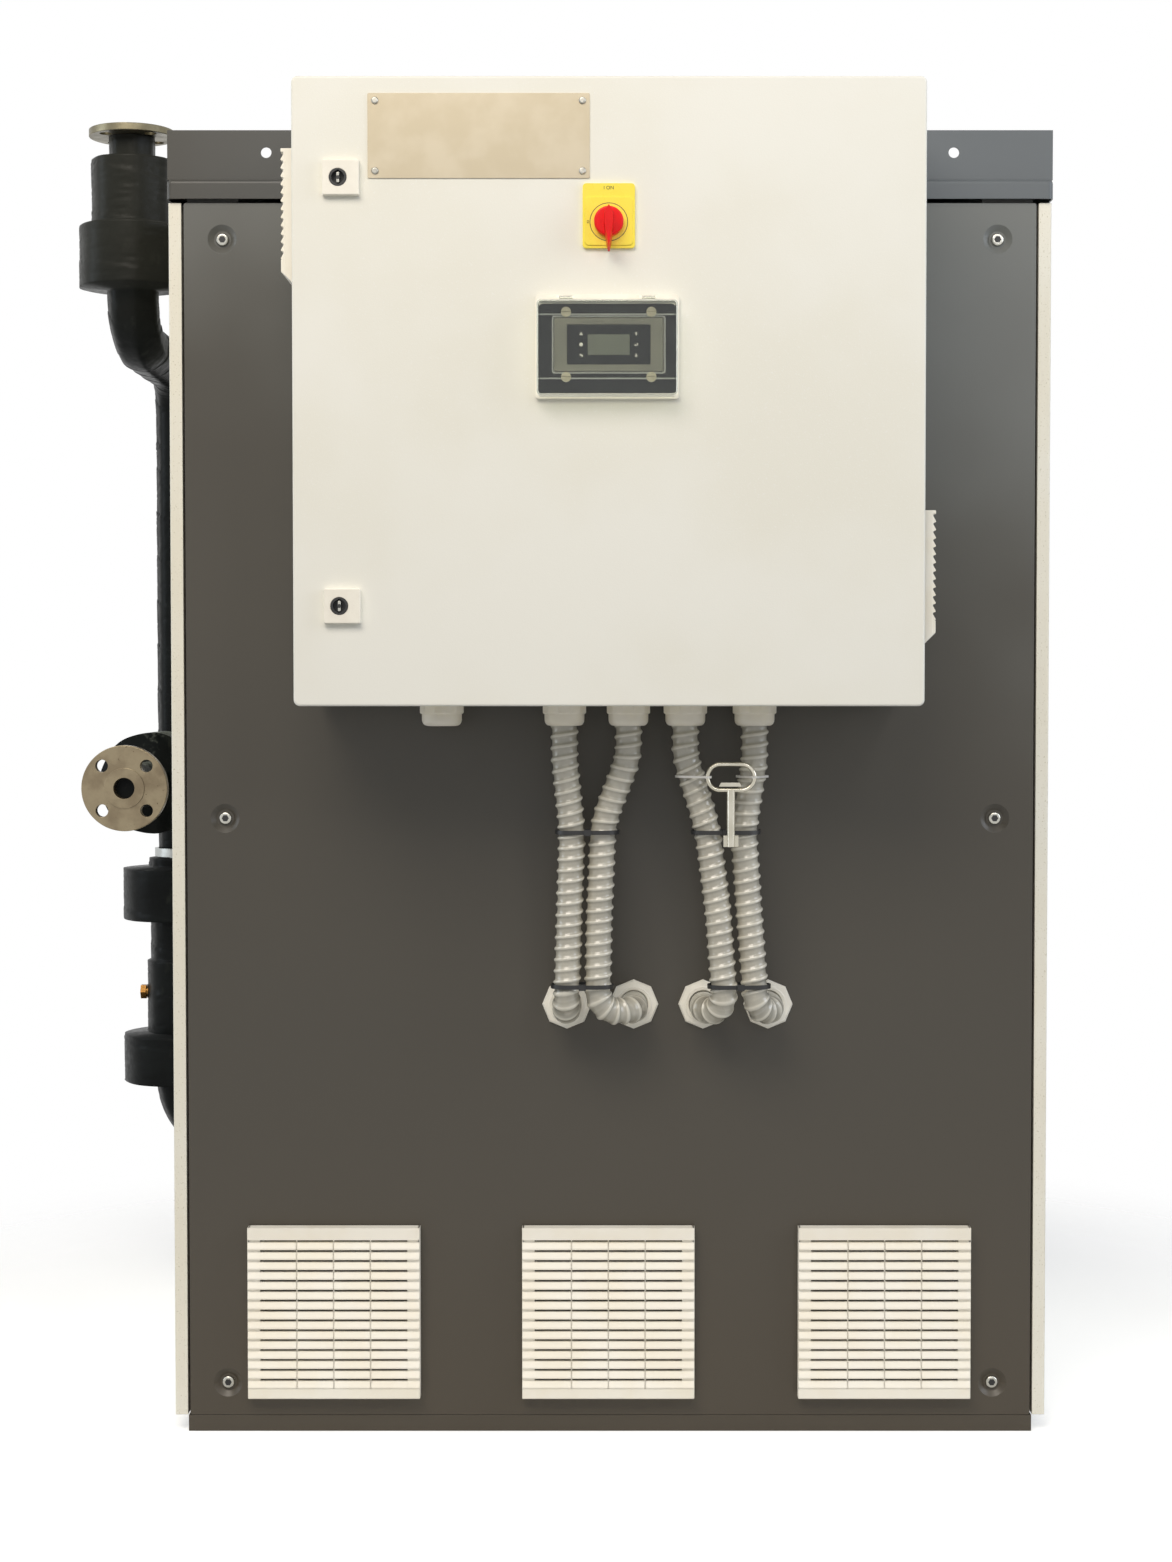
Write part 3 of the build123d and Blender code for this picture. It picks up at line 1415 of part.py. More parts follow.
def flange_holes_on(plane):
    """Cuts a flange's bolt holes on their circle."""
    with BuildSketch(plane) as holes:
        with PolarLocations(flange_bolt_circle / 2, flange_holes, start_angle=180 / flange_holes):
            Circle(flange_hole_radius)
    extrude(holes.sketch, amount=top_flange_thickness * 4, both=True, mode=Mode.SUBTRACT)


# Flange on top of the pipework, on its pipe neck
top_flange_plane = Plane((pipe_x, valve_y, top_flange_top))
with BuildPart() as top_flange:
    with BuildSketch(top_flange_plane) as face:
        Circle(flange_radius)
    extrude(face.sketch, amount=-top_flange_thickness)
    with BuildSketch(top_flange_plane.offset(-top_flange_thickness)) as hub:
        Circle(weld_neck_radius)
    extrude(hub.sketch, amount=-weld_neck_length)
    flange_holes_on(top_flange_plane)
    disc(top_flange_plane, [(0, 0)], flange_bore_radius, -(top_flange_thickness + weld_neck_length),
         Mode.SUBTRACT)
    fillet(top_flange.edges().filter_by(GeomType.CIRCLE).group_by(SortBy.LENGTH)[-1], flange_edge)
save(top_flange, "top_flange")

# Flange to the front, with its raised face
front_flange_plane = Plane(
    (pipe_x, front_flange_y, branch_z), x_dir=(1, 0, 0), z_dir=(0, -1, 0)
)
with BuildPart() as front_flange:
    disc(front_flange_plane, [(0, 0)], raised_face_radius, -raised_face_height)
    disc(front_flange_plane.offset(-raised_face_height), [(0, 0)], flange_radius,
         -front_flange_thickness)
    back_of_flange = raised_face_height + front_flange_thickness
    disc(front_flange_plane.offset(-back_of_flange), [(0, 0)], weld_neck_radius, -weld_neck_length)
    flange_holes_on(front_flange_plane)
    disc(front_flange_plane, [(0, 0)], flange_bore_radius, -(back_of_flange + weld_neck_length),
         Mode.SUBTRACT)
    fillet(front_flange.edges().filter_by(GeomType.CIRCLE).group_by(SortBy.LENGTH)[-1], flange_edge)
save(front_flange, "front_flange")

# Steel water pipe from the top flange round to the cabinet, with the branch to the front flange
pipe_top_z = top_flange_top - top_flange_thickness - weld_neck_length
branch_front_y = front_flange_y + back_of_flange + weld_neck_length
main_points = (
    (pipe_x, valve_y, pipe_top_z),
    (pipe_x, valve_y, leg_z),
    (pipe_x, riser_y, leg_z),
    (pipe_x, riser_y, inlet_z),
    (pipe_end_x, riser_y, inlet_z),
)


def pipe_run(points, bends, radius, mode=Mode.ADD):
    """Adds or cuts a round bar along points, with a bend at each inner one."""
    with BuildLine() as line:
        if len(points) > 2:
            FilletPolyline(*points, radius=list(bends))
        else:
            Line(*points)
    wire = line.wires()[0]
    with BuildSketch(Plane(wire @ 0, z_dir=wire % 0)) as section:
        Circle(radius)
    sweep(section.sketch, path=wire, mode=mode)


main_bends = (elbow_radius, elbow_radius, lower_elbow_radius)
branch_points = ((pipe_x, branch_front_y, branch_z), (pipe_x, riser_y, branch_z))
with BuildPart() as water_pipe:
    pipe_run(main_points, main_bends, pipe_radius)
    disc(at_depth(branch_front_y), [(pipe_x, branch_z)], branch_pipe_radius,
         branch_front_y - riser_y)
    disc(at_depth(branch_front_y), [(pipe_x, branch_z)], branch_bore_radius,
         branch_front_y - riser_y, Mode.SUBTRACT)
    pipe_run(main_points, main_bends, pipe_bore_radius, Mode.SUBTRACT)
save(water_pipe, "water_pipe")

valve_axis = [(pipe_x, valve_y)]
riser_axis = [(pipe_x, riser_y)]
lagging_bore = pipe_radius + lagging_clearance
lagging_end_z = leg_z - elbow_radius - 40

# Upper insulation: neck, sleeve and valve body, then the elbow and the leg to the riser
with BuildPart() as upper_insulation:
    pipe_run(
        (
            (pipe_x, valve_y, valve_lagging_z[0] + 5),
            (pipe_x, valve_y, leg_z),
            (pipe_x, riser_y, leg_z),
            (pipe_x, riser_y, lagging_end_z),
        ),
        (elbow_radius, elbow_radius),
        lagging_radius,
    )
    neck_top = top_flange_top - top_flange_thickness - lagging_clearance
    disc(at_height(neck_bottom), valve_axis, neck_radius, neck_top - neck_bottom)
    disc(at_height(valve_lagging_z[1]), valve_axis, upper_lagging_radius,
         neck_bottom - valve_lagging_z[1])
    disc(at_height(valve_lagging_z[0]), valve_axis, valve_lagging_radius,
         valve_lagging_z[1] - valve_lagging_z[0])
    pipe_run(main_points[:4], main_bends[:2], lagging_bore, Mode.SUBTRACT)
    disc(at_height(pipe_top_z - 1), valve_axis, weld_neck_radius + lagging_clearance,
         weld_neck_length + 2, Mode.SUBTRACT)
save(upper_insulation, "upper_insulation")

# Riser insulation: the long sleeve, the branch with its body, two wide cuffs and the elbow
branch_lagging_y = front_flange_y + back_of_flange + lagging_clearance
with BuildPart() as riser_insulation:
    disc(at_height(clamp_z + clamp_width), riser_axis, lagging_radius,
         lagging_end_z - clamp_z - clamp_width - face_gap)
    disc(at_depth(branch_lagging_y), [(pipe_x, branch_z)], neck_radius,
         branch_lagging_y - riser_y)
    disc(at_depth(branch_body_y[0]), [(pipe_x, branch_z)], valve_lagging_radius,
         branch_body_y[0] - branch_body_y[1])
    disc(at_height(upper_cuff_z[0]), riser_axis, cuff_radius, upper_cuff_z[1] - upper_cuff_z[0])
    disc(at_height(collar_z[0]), riser_axis, collar_radius, collar_z[1] - collar_z[0])
    disc(at_height(upper_cuff_z[1] - 1), riser_axis, clamp_radius - clamp_wall,
         clamp_z + clamp_width - upper_cuff_z[1] + 2)
    disc(at_height(lower_cuff_z[0]), riser_axis, cuff_radius, lower_cuff_z[1] - lower_cuff_z[0])
    pipe_run(
        (
            (pipe_x, riser_y, lower_cuff_z[0] + 2),
            (pipe_x, riser_y, inlet_z),
            (-side_outer, riser_y, inlet_z),
        ),
        (lower_elbow_radius - 0.5,),
        lagging_radius + 3.5,
    )
    pipe_run(main_points[2:], (lower_elbow_radius,), lagging_bore, Mode.SUBTRACT)
    pipe_run(branch_points, (), lagging_bore, Mode.SUBTRACT)
    disc(at_depth(branch_lagging_y), [(pipe_x, branch_z)], weld_neck_radius + lagging_clearance,
         -(weld_neck_length + 1), Mode.SUBTRACT)
save(riser_insulation, "riser_insulation")

# Metal clamp round the riser
with BuildPart() as pipe_clamp:
    disc(at_height(clamp_z - clamp_width / 2), riser_axis, clamp_radius, clamp_width)
    disc(at_height(clamp_z - clamp_width / 2), riser_axis, clamp_radius - clamp_wall + lagging_clearance,
         clamp_width, Mode.SUBTRACT)
    block((pipe_x - clamp_lug, pipe_x + clamp_lug),
          (riser_y - clamp_radius - clamp_lug_reach, riser_y - clamp_radius + clamp_wall / 2),
          (clamp_z - clamp_width / 2, clamp_z + clamp_width / 2))
save(pipe_clamp, "pipe_clamp")

# Strainer between the two cuffs, and its brass plug on the left
with BuildPart() as strainer:
    disc(at_height(strainer_step_z), riser_axis, strainer_radius,
         upper_cuff_z[0] - strainer_step_z - face_gap)
    disc(at_height(lower_cuff_z[1] + face_gap), riser_axis, strainer_lower_radius,
         strainer_step_z - lower_cuff_z[1] - face_gap)
    disc(at_height(lower_cuff_z[1]), riser_axis, lagging_bore, upper_cuff_z[0] - lower_cuff_z[1],
         Mode.SUBTRACT)
    disc(at_width(pipe_x - strainer_lower_radius), [(riser_y, plug_z)],
         plug_radius * plug_shank_share + lagging_clearance, plug_sink + 2 * cut_margin, Mode.SUBTRACT)
save(strainer, "strainer")

with BuildPart() as strainer_plug:
    with BuildSketch(at_width(pipe_x - plug_reach)) as plug_head:
        with Locations((riser_y, plug_z)):
            RegularPolygon(plug_radius, 6)
    extrude(plug_head.sketch, amount=plug_reach - strainer_lower_radius - lagging_clearance)
    disc(at_width(pipe_x - plug_reach), [(riser_y, plug_z)], plug_radius * plug_shank_share,
         plug_reach - strainer_lower_radius + plug_sink)
save(strainer_plug, "strainer_plug")

# Compressor on its feet
with BuildPart() as compressor:
    disc(at_height(tray_wall + compressor_foot), [compressor_at], compressor_radius,
         compressor_height)
    fillet(compressor.faces().sort_by(Axis.Z)[-1].edges(), compressor_rounds[0])
    fillet(compressor.faces().sort_by(Axis.Z)[0].edges(), compressor_rounds[1])
    pad(at_height(tray_wall + compressor_foot - foot_plate[1] / 2), [compressor_at],
        (foot_plate[0], foot_plate[0]), foot_plate[1], corner=foot_plate[2])
    disc(at_height(tray_wall),
         [(compressor_at[0] + sx * foot_spacing / 2, compressor_at[1] + sy * foot_spacing / 2)
          for sx in (-1, 1) for sy in (-1, 1)],
         foot_radius, compressor_foot)
save(compressor, "compressor")

# Two plate heat exchangers with their ports to the right
exchanger_y = (riser_y - exchanger_width / 2, riser_y - exchanger_width * 1.5 - exchanger_gap)
tray_floor = tray_wall
with BuildPart() as heat_exchangers:
    for y in exchanger_y:
        block((exchanger_x[0] + face_gap, exchanger_x[1]), (y, y + exchanger_width),
              (tray_floor, tray_floor + exchanger_height))
    fillet(heat_exchangers.edges().filter_by(Axis.Z), exchanger_corner)
save(heat_exchangers, "heat_exchangers")

# Copper refrigerant tubes: discharge and suction to the compressor, liquid line between plates
compressor_top = tray_wall + compressor_foot + compressor_height
exchanger_middles = [y + exchanger_width / 2 for y in exchanger_y]
high_port = tray_floor + exchanger_height - port_inset
low_port = tray_floor + port_inset
with BuildPart() as refrigerant_pipes:
    pipe_run(
        (
            (exchanger_x[1] + port_clearance, exchanger_middles[0], high_port),
            (exchanger_x[1] + tube_reaches[0], exchanger_middles[0], high_port),
            (exchanger_x[1] + tube_reaches[0], exchanger_middles[0], compressor_top + tube_rise),
            (compressor_at[0], compressor_at[1], compressor_top + tube_rise),
            (compressor_at[0], compressor_at[1], compressor_top + port_clearance),
        ),
        (tube_bend, tube_bend, tube_bend),
        tube_radius,
    )
    side_x = compressor_at[0] - compressor_radius - port_clearance
    pipe_run(
        (
            (exchanger_x[1] + port_clearance, exchanger_middles[1], high_port),
            (exchanger_x[1] + tube_reaches[1], exchanger_middles[1], high_port),
            (exchanger_x[1] + tube_reaches[1], compressor_at[1], high_port - suction_drop),
            (side_x, compressor_at[1], high_port - suction_drop),
        ),
        (tube_bend, tube_bend),
        tube_radius,
    )
    pipe_run(
        (
            (exchanger_x[1] + port_clearance, exchanger_middles[0], low_port),
            (exchanger_x[1] + tube_reaches[2], exchanger_middles[0], low_port),
            (exchanger_x[1] + tube_reaches[2], exchanger_middles[1], low_port),
            (exchanger_x[1] + port_clearance, exchanger_middles[1], low_port),
        ),
        (tube_bend, tube_bend),
        tube_radius,
    )
save(refrigerant_pipes, "refrigerant_pipes")
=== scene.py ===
import math

import bmesh
import bpy
from mathutils import Matrix, Vector


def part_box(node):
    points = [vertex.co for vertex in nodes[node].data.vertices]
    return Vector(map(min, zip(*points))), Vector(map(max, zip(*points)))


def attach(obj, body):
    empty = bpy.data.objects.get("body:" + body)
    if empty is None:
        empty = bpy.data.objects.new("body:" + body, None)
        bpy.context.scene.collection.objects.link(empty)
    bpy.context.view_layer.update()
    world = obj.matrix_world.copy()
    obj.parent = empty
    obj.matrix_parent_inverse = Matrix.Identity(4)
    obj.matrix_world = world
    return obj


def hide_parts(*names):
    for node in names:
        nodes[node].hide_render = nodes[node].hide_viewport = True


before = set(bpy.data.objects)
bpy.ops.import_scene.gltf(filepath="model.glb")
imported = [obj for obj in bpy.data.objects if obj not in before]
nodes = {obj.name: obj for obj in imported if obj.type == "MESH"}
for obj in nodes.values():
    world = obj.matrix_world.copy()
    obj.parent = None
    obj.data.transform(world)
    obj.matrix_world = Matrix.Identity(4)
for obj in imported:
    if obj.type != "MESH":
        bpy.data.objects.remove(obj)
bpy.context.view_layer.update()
mm = 0.001
print("frame loaded:", len(nodes), "nodes")


# One place where an sRGB hex code becomes a linear colour
def linear(code):
    parts = [int(code[i:i + 2], 16) / 255 for i in (1, 3, 5)]
    return [p / 12.92 if p <= 0.04045 else ((p + 0.055) / 1.055) ** 2.4 for p in parts] + [1.0]


def firstOutput(node):
    return next(socket for socket in node.outputs if socket.enabled)


# Adds a node, sets its properties, and gives its inputs values or links. Inputs are named, or in order.
def addNode(tree, kind, inputs=(), **settings):
    node = tree.nodes.new(kind)
    for name, value in settings.items():
        setattr(node, name, value)
    sockets = [socket for socket in node.inputs if socket.enabled]
    places = inputs.items() if isinstance(inputs, dict) else enumerate(inputs)
    for place, value in places:
        if isinstance(place, int):
            socket = sockets[place]
        else:
            socket = next(s for s in sockets if s.name == place)
        if isinstance(value, bpy.types.Node):
            value = firstOutput(value)
        if isinstance(value, bpy.types.NodeSocket):
            tree.links.new(value, socket)
        elif value is not None:
            socket.default_value = value
    return node


def addToScene(thing):
    bpy.context.collection.objects.link(thing)
    return thing


# Gives a piece one material on all its faces
def dress(piece, material):
    mesh = piece.data
    mesh.materials.clear()
    mesh.materials.append(material)
    mesh.polygons.foreach_set("material_index", [0] * len(mesh.polygons))


# A new mesh piece on a body, with its finish
def mount(piece, body, material):
    dress(piece, material)
    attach(piece, body)
    return piece


def meshPiece(name, vertices, faces):
    mesh = bpy.data.meshes.new(name)
    mesh.from_pydata(vertices, [], faces)
    mesh.validate()
    outward = bmesh.new()
    outward.from_mesh(mesh)
    bmesh.ops.recalc_face_normals(outward, faces=outward.faces)
    outward.to_mesh(mesh)
    outward.free()
    return addToScene(bpy.data.objects.new(name, mesh))


# Faces of a prism whose two ends have as many points, from a first vertex on
def prismFaces(base, count):
    faces = [tuple(range(base, base + count)), tuple(range(base + 2 * count - 1, base + count - 1, -1))]
    for i in range(count):
        after = (i + 1) % count
        faces.append((base + i, base + i + count, base + after + count, base + after))
    return faces


# Faces between loops of as many points, the last of which joins the first
def loopFaces(loops, count):
    faces = []
    for k in range(loops):
        here, there = k * count, (k + 1) % loops * count
        for i in range(count):
            after = (i + 1) % count
            faces.append((here + i, here + after, there + after, there + i))
    return faces


# A slab that faces the front: an outline of X and Z in mm, from its face's Y back by its thickness
def slab(name, outline, faceY, thickness):
    vertices = [(x * mm, y * mm, z * mm) for y in (faceY, faceY + thickness) for x, z in outline]
    return meshPiece(name, vertices, prismFaces(0, len(outline)))


# A flat ring that faces the front, between two outlines of as many points
def ring(name, outer, inner, faceY, thickness):
    loops = [(outer, faceY), (inner, faceY), (inner, faceY + thickness), (outer, faceY + thickness)]
    vertices = [(x * mm, y * mm, z * mm) for outline, y in loops for x, z in outline]
    return meshPiece(name, vertices, loopFaces(len(loops), len(outer)))


# Straight bars along X in one mesh: each has an outline of Y and Z, and its two ends in X, in mm
def bars(name, shapes):
    vertices, faces = [], []
    for outline, low, high in shapes:
        faces += prismFaces(len(vertices), len(outline))
        vertices += [(x * mm, y * mm, z * mm) for x in (low, high) for y, z in outline]
    return meshPiece(name, vertices, faces)


# A closed turned shape about Z in mm, from a profile of radius, height and number of flats (0 is round)
def turned(name, profile, sides=96):
    vertices = []
    for radius, height, flats in profile:
        for i in range(sides):
            angle = 2 * math.pi * i / sides
            reach = radius
            if flats:
                offset = (angle + math.pi / flats) % (2 * math.pi / flats) - math.pi / flats
                reach = radius / math.cos(offset)
            vertices.append((reach * math.cos(angle) * mm, reach * math.sin(angle) * mm, height * mm))
    return meshPiece(name, vertices, loopFaces(len(profile), sides))


# Copies of finished pieces at several places, as one piece
def gathered(name, pieces, places):
    whole = bmesh.new()
    for piece in pieces:
        for place in places:
            copy = piece.data.copy()
            copy.transform(place)
            whole.from_mesh(copy)
            bpy.data.meshes.remove(copy)
        bpy.data.objects.remove(piece)
    mesh = bpy.data.meshes.new(name)
    whole.to_mesh(mesh)
    whole.free()
    return addToScene(bpy.data.objects.new(name, mesh))


def placeAt(x, y, z, turn=0.0, axis="Z"):
    return Matrix.Translation((x * mm, y * mm, z * mm)) @ Matrix.Rotation(math.radians(turn), 4, axis)


# The mesh that a piece's modifiers make, as a new object
def settled(base):
    base.update_tag()
    graph = bpy.context.evaluated_depsgraph_get()
    mesh = bpy.data.meshes.new_from_object(base.evaluated_get(graph))
    name = base.name
    bpy.data.objects.remove(base)
    mesh.name = name
    return addToScene(bpy.data.objects.new(name, mesh))


# Rounds a piece's edges by a width in mm
def rounded(piece, width):
    bevel = piece.modifiers.new("round", "BEVEL")
    bevel.width = width * mm
    bevel.segments = 3
    bevel.limit_method = "ANGLE"
    bevel.angle_limit = math.radians(35)
    return settled(piece)


# A rounded rectangle's outline in mm, counted the way that faces the front
def roundedOutline(centre, size, corner, steps=5):
    points = []
    for turn, (sx, sz) in enumerate(((1, 1), (-1, 1), (-1, -1), (1, -1))):
        for i in range(steps + 1):
            angle = math.pi / 2 * (turn + i / steps)
            points.append((
                centre[0] + sx * (size[0] / 2 - corner) + corner * math.cos(angle),
                centre[1] + sz * (size[1] / 2 - corner) + corner * math.sin(angle),
            ))
    return points


# A path in mm through points, with an arc of a given radius at each inner one, in steps of a length
def filletedPath(points, radii, step):
    corners = [Vector(p) for p in points]
    runs = [[corners[0]]]
    for i, radius in enumerate(radii):
        before, corner, after = corners[i:i + 3]
        into = (corner - before).normalized()
        out = (after - corner).normalized()
        turn = into.angle(out)
        reach = radius * math.tan(turn / 2)
        inward = (out - into).normalized()
        middle = corner + inward * (radius / math.cos(turn / 2))
        start = corner - into * reach - middle
        axis = into.cross(out).normalized()
        count = max(3, round(radius * turn / step))
        runs[-1].append(corner - into * reach)
        arc = [middle + Matrix.Rotation(turn * k / count, 3, axis) @ start for k in range(1, count)]
        runs.append(arc)
        runs.append([corner + out * reach])
    runs[-1].append(corners[-1])
    path = []
    for run in runs:
        if len(run) != 2:
            path += run
            continue
        count = max(1, round((run[1] - run[0]).length / step))
        path += [run[0].lerp(run[1], k / count) for k in range(count + 1)]
    return path


# A poly curve through a path in mm, with a radius in mm at each point
def curveThrough(name, path, radii):
    curve = bpy.data.curves.new(name, "CURVE")
    curve.dimensions = "3D"
    spline = curve.splines.new("POLY")
    spline.points.add(len(path) - 1)
    for point, place, radius in zip(spline.points, path, radii):
        point.co = (*(place * mm), 1)
        point.radius = radius * mm
    return addToScene(bpy.data.objects.new(name, curve))


# Starts a geometry tree with named inputs, and gives the tree and its input node
def newTree(name, inputs):
    tree = bpy.data.node_groups.new(name, "GeometryNodeTree")
    tree.interface.new_socket("Geometry", in_out="INPUT", socket_type="NodeSocketGeometry")
    for title, kind in inputs.items():
        tree.interface.new_socket(title, in_out="INPUT", socket_type="NodeSocket" + kind)
    tree.interface.new_socket("Geometry", in_out="OUTPUT", socket_type="NodeSocketGeometry")
    return tree, tree.nodes.new("NodeGroupInput")


# Ends a tree: real geometry, smooth where asked, one material
def endTree(tree, geometry, smooth, given):
    real = addNode(tree, "GeometryNodeRealizeInstances", [geometry])
    shaded = addNode(tree, "GeometryNodeSetShadeSmooth", {"Geometry": real, "Shade Smooth": smooth})
    coloured = addNode(tree, "GeometryNodeSetMaterial", {
        "Geometry": shaded, "Material": given.outputs["Material"],
    })
    addNode(tree, "NodeGroupOutput", [coloured])


# Runs a tree on a base object, and gives the mesh that it makes as a new object
def grow(base, tree, values):
    modifier = base.modifiers.new("grow", "NODES")
    modifier.node_group = tree
    for item in tree.interface.items_tree:
        if item.name in values:
            modifier[item.identifier] = values[item.name]
    return settled(base)


# Sweeps a circle along the curve and keeps what each vertex needs: its centre, its distance along
# the curve, its place round the circle, and the curve's radius there
def sweepCircle(tree, given, sides):
    along = addNode(tree, "GeometryNodeSplineParameter")
    kept = addNode(tree, "GeometryNodeCaptureAttribute")
    kept.capture_items.new("VECTOR", "centre")
    kept.capture_items.new("FLOAT", "along")
    kept.capture_items.new("FLOAT", "radius")
    tree.links.new(given.outputs["Geometry"], kept.inputs["Geometry"])
    tree.links.new(addNode(tree, "GeometryNodeInputPosition").outputs[0], kept.inputs["centre"])
    tree.links.new(along.outputs["Length"], kept.inputs["along"])
    tree.links.new(addNode(tree, "GeometryNodeInputRadius").outputs[0], kept.inputs["radius"])
    unit = addNode(tree, "GeometryNodeSetCurveRadius", {"Curve": kept.outputs["Geometry"], "Radius": 1.0})
    circle = addNode(tree, "GeometryNodeCurvePrimitiveCircle", {"Resolution": sides, "Radius": 0.01})
    rim = addNode(tree, "GeometryNodeCaptureAttribute")
    rim.capture_items.new("FLOAT", "around")
    tree.links.new(circle.outputs["Curve"], rim.inputs["Geometry"])
    tree.links.new(addNode(tree, "GeometryNodeSplineParameter").outputs["Factor"], rim.inputs["around"])
    swept = addNode(tree, "GeometryNodeCurveToMesh", {
        "Curve": unit, "Profile Curve": rim.outputs["Geometry"], "Fill Caps": True,
    })
    place = addNode(tree, "GeometryNodeInputPosition")
    outward = addNode(tree, "ShaderNodeVectorMath", [place, kept.outputs["centre"]], operation="SUBTRACT")
    outward = addNode(tree, "ShaderNodeVectorMath", [outward], operation="NORMALIZE")
    return swept, kept, rim.outputs["around"], outward


# Moves each vertex to its centre plus a radius outwards
def atRadius(tree, swept, kept, outward, radius):
    reach = addNode(tree, "ShaderNodeVectorMath", {"Vector": outward, "Scale": radius}, operation="SCALE")
    target = addNode(tree, "ShaderNodeVectorMath", [kept.outputs["centre"], reach], operation="ADD")
    return addNode(tree, "GeometryNodeSetPosition", {"Geometry": swept, "Position": target})


# Ribbed hose: a spiral ridge on a tube, narrow at its crest and broad in its valleys
def ribbedHoseTree():
    tree, given = newTree("ribbedHose", {
        "Pitch": "Float", "Root": "Float", "Rib": "Float", "Sharpness": "Float", "Material": "Material",
    })
    swept, kept, around, outward = sweepCircle(tree, given, 56)
    turns = addNode(tree, "ShaderNodeMath", [
        kept.outputs["along"], given.outputs["Pitch"],
    ], operation="DIVIDE")
    phase = addNode(tree, "ShaderNodeMath", [turns, around], operation="SUBTRACT")
    angle = addNode(tree, "ShaderNodeMath", [phase, 2 * math.pi], operation="MULTIPLY")
    wave = addNode(tree, "ShaderNodeMath", [angle], operation="COSINE")
    half = addNode(tree, "ShaderNodeMath", [wave, 0.5, 0.5], operation="MULTIPLY_ADD")
    ridge = addNode(tree, "ShaderNodeMath", [half, given.outputs["Sharpness"]], operation="POWER")
    radius = addNode(tree, "ShaderNodeMath", [
        ridge, given.outputs["Rib"], given.outputs["Root"],
    ], operation="MULTIPLY_ADD")
    placed = atRadius(tree, swept, kept, outward, radius)
    endTree(tree, placed, True, given)
    return tree


# Taped lagging: foam of the curve's own radius under a spiral of overlapping tape. The tape's steps,
# its wrinkles and the foam's soft lumps only ever go inwards from that radius.
def tapedLaggingTree():
    tree, given = newTree("tapedLagging", {
        "Tape": "Float", "Step": "Float", "Lump": "Float", "Lump size": "Float",
        "Wrinkle": "Float", "Facet": "Float", "Material": "Material",
    })
    swept, kept, around, outward = sweepCircle(tree, given, 88)
    turns = addNode(tree, "ShaderNodeMath", [
        kept.outputs["along"], given.outputs["Tape"],
    ], operation="DIVIDE")
    phase = addNode(tree, "ShaderNodeMath", [turns, around], operation="ADD")
    lap = addNode(tree, "ShaderNodeMath", [phase], operation="FRACT")
    lumpScale = addNode(tree, "ShaderNodeMath", [1.0, given.outputs["Lump size"]], operation="DIVIDE")
    aim = addNode(tree, "ShaderNodeVectorMath", {"Vector": outward, "Scale": 0.05}, operation="SCALE")
    skin = addNode(tree, "ShaderNodeVectorMath", [kept.outputs["centre"], aim], operation="ADD")
    lumps = addNode(tree, "ShaderNodeTexNoise", {"Vector": skin, "Scale": lumpScale, "Detail": 1.5})
    # Wrinkles run round the pipe, so they are stretched round and short along it
    alongMark = addNode(tree, "ShaderNodeMath", [kept.outputs["along"], 120.0], operation="MULTIPLY")
    circleAngle = addNode(tree, "ShaderNodeMath", [around, 2 * math.pi], operation="MULTIPLY")
    sine = addNode(tree, "ShaderNodeMath", [circleAngle], operation="SINE")
    cosine = addNode(tree, "ShaderNodeMath", [circleAngle], operation="COSINE")
    marks = addNode(tree, "ShaderNodeCombineXYZ", [sine, cosine, alongMark])
    wrinkles = addNode(tree, "ShaderNodeTexNoise", {"Vector": marks, "Scale": 1.6, "Detail": 3.0})
    sharp = addNode(tree, "ShaderNodeMapRange", [
        wrinkles, 0.52, 0.68, 0.0, 1.0,
    ], interpolation_type="SMOOTHSTEP")
    # Flat facets where the foam sheet was bent round the pipe
    facetAngle = addNode(tree, "ShaderNodeMath", [circleAngle, 7.0], operation="MULTIPLY")
    facetWave = addNode(tree, "ShaderNodeMath", [facetAngle], operation="COSINE")
    facetWave = addNode(tree, "ShaderNodeMath", [facetWave, 0.5, 0.5], operation="MULTIPLY_ADD")
    total = 0.0
    for pattern, depth in ((lap, "Step"), (lumps, "Lump"), (sharp, "Wrinkle"), (facetWave, "Facet")):
        total = addNode(tree, "ShaderNodeMath", [
            pattern, given.outputs[depth], total,
        ], operation="MULTIPLY_ADD")
    radius = addNode(tree, "ShaderNodeMath", [kept.outputs["radius"], total], operation="SUBTRACT")
    placed = atRadius(tree, swept, kept, outward, radius)
    endTree(tree, placed, True, given)
    return tree


# Repeats the base downwards: Count copies, a Pitch apart
def rowsTree():
    tree, given = newTree("rows", {"Count": "Int", "Pitch": "Float", "Material": "Material"})
    drop = addNode(tree, "ShaderNodeMath", [given.outputs["Pitch"], -1.0], operation="MULTIPLY")
    step = addNode(tree, "ShaderNodeCombineXYZ", [0.0, 0.0, drop])
    line = addNode(tree, "GeometryNodeMeshLine", {"Count": given.outputs["Count"], "Offset": step})
    rows = addNode(tree, "GeometryNodeInstanceOnPoints", {
        "Points": line, "Instance": given.outputs["Geometry"],
    })
    endTree(tree, rows, False, given)
    return tree


# A new material with its object coordinates and its main shader
def newMaterial(name):
    material = bpy.data.materials.new(name)
    material.use_nodes = True
    tree = material.node_tree
    tree.nodes.clear()
    place = addNode(tree, "ShaderNodeTexCoord").outputs["Object"]
    shader = addNode(tree, "ShaderNodeBsdfPrincipled")
    output = addNode(tree, "ShaderNodeOutputMaterial", {"Surface": shader})
    return material, tree, place, shader, output


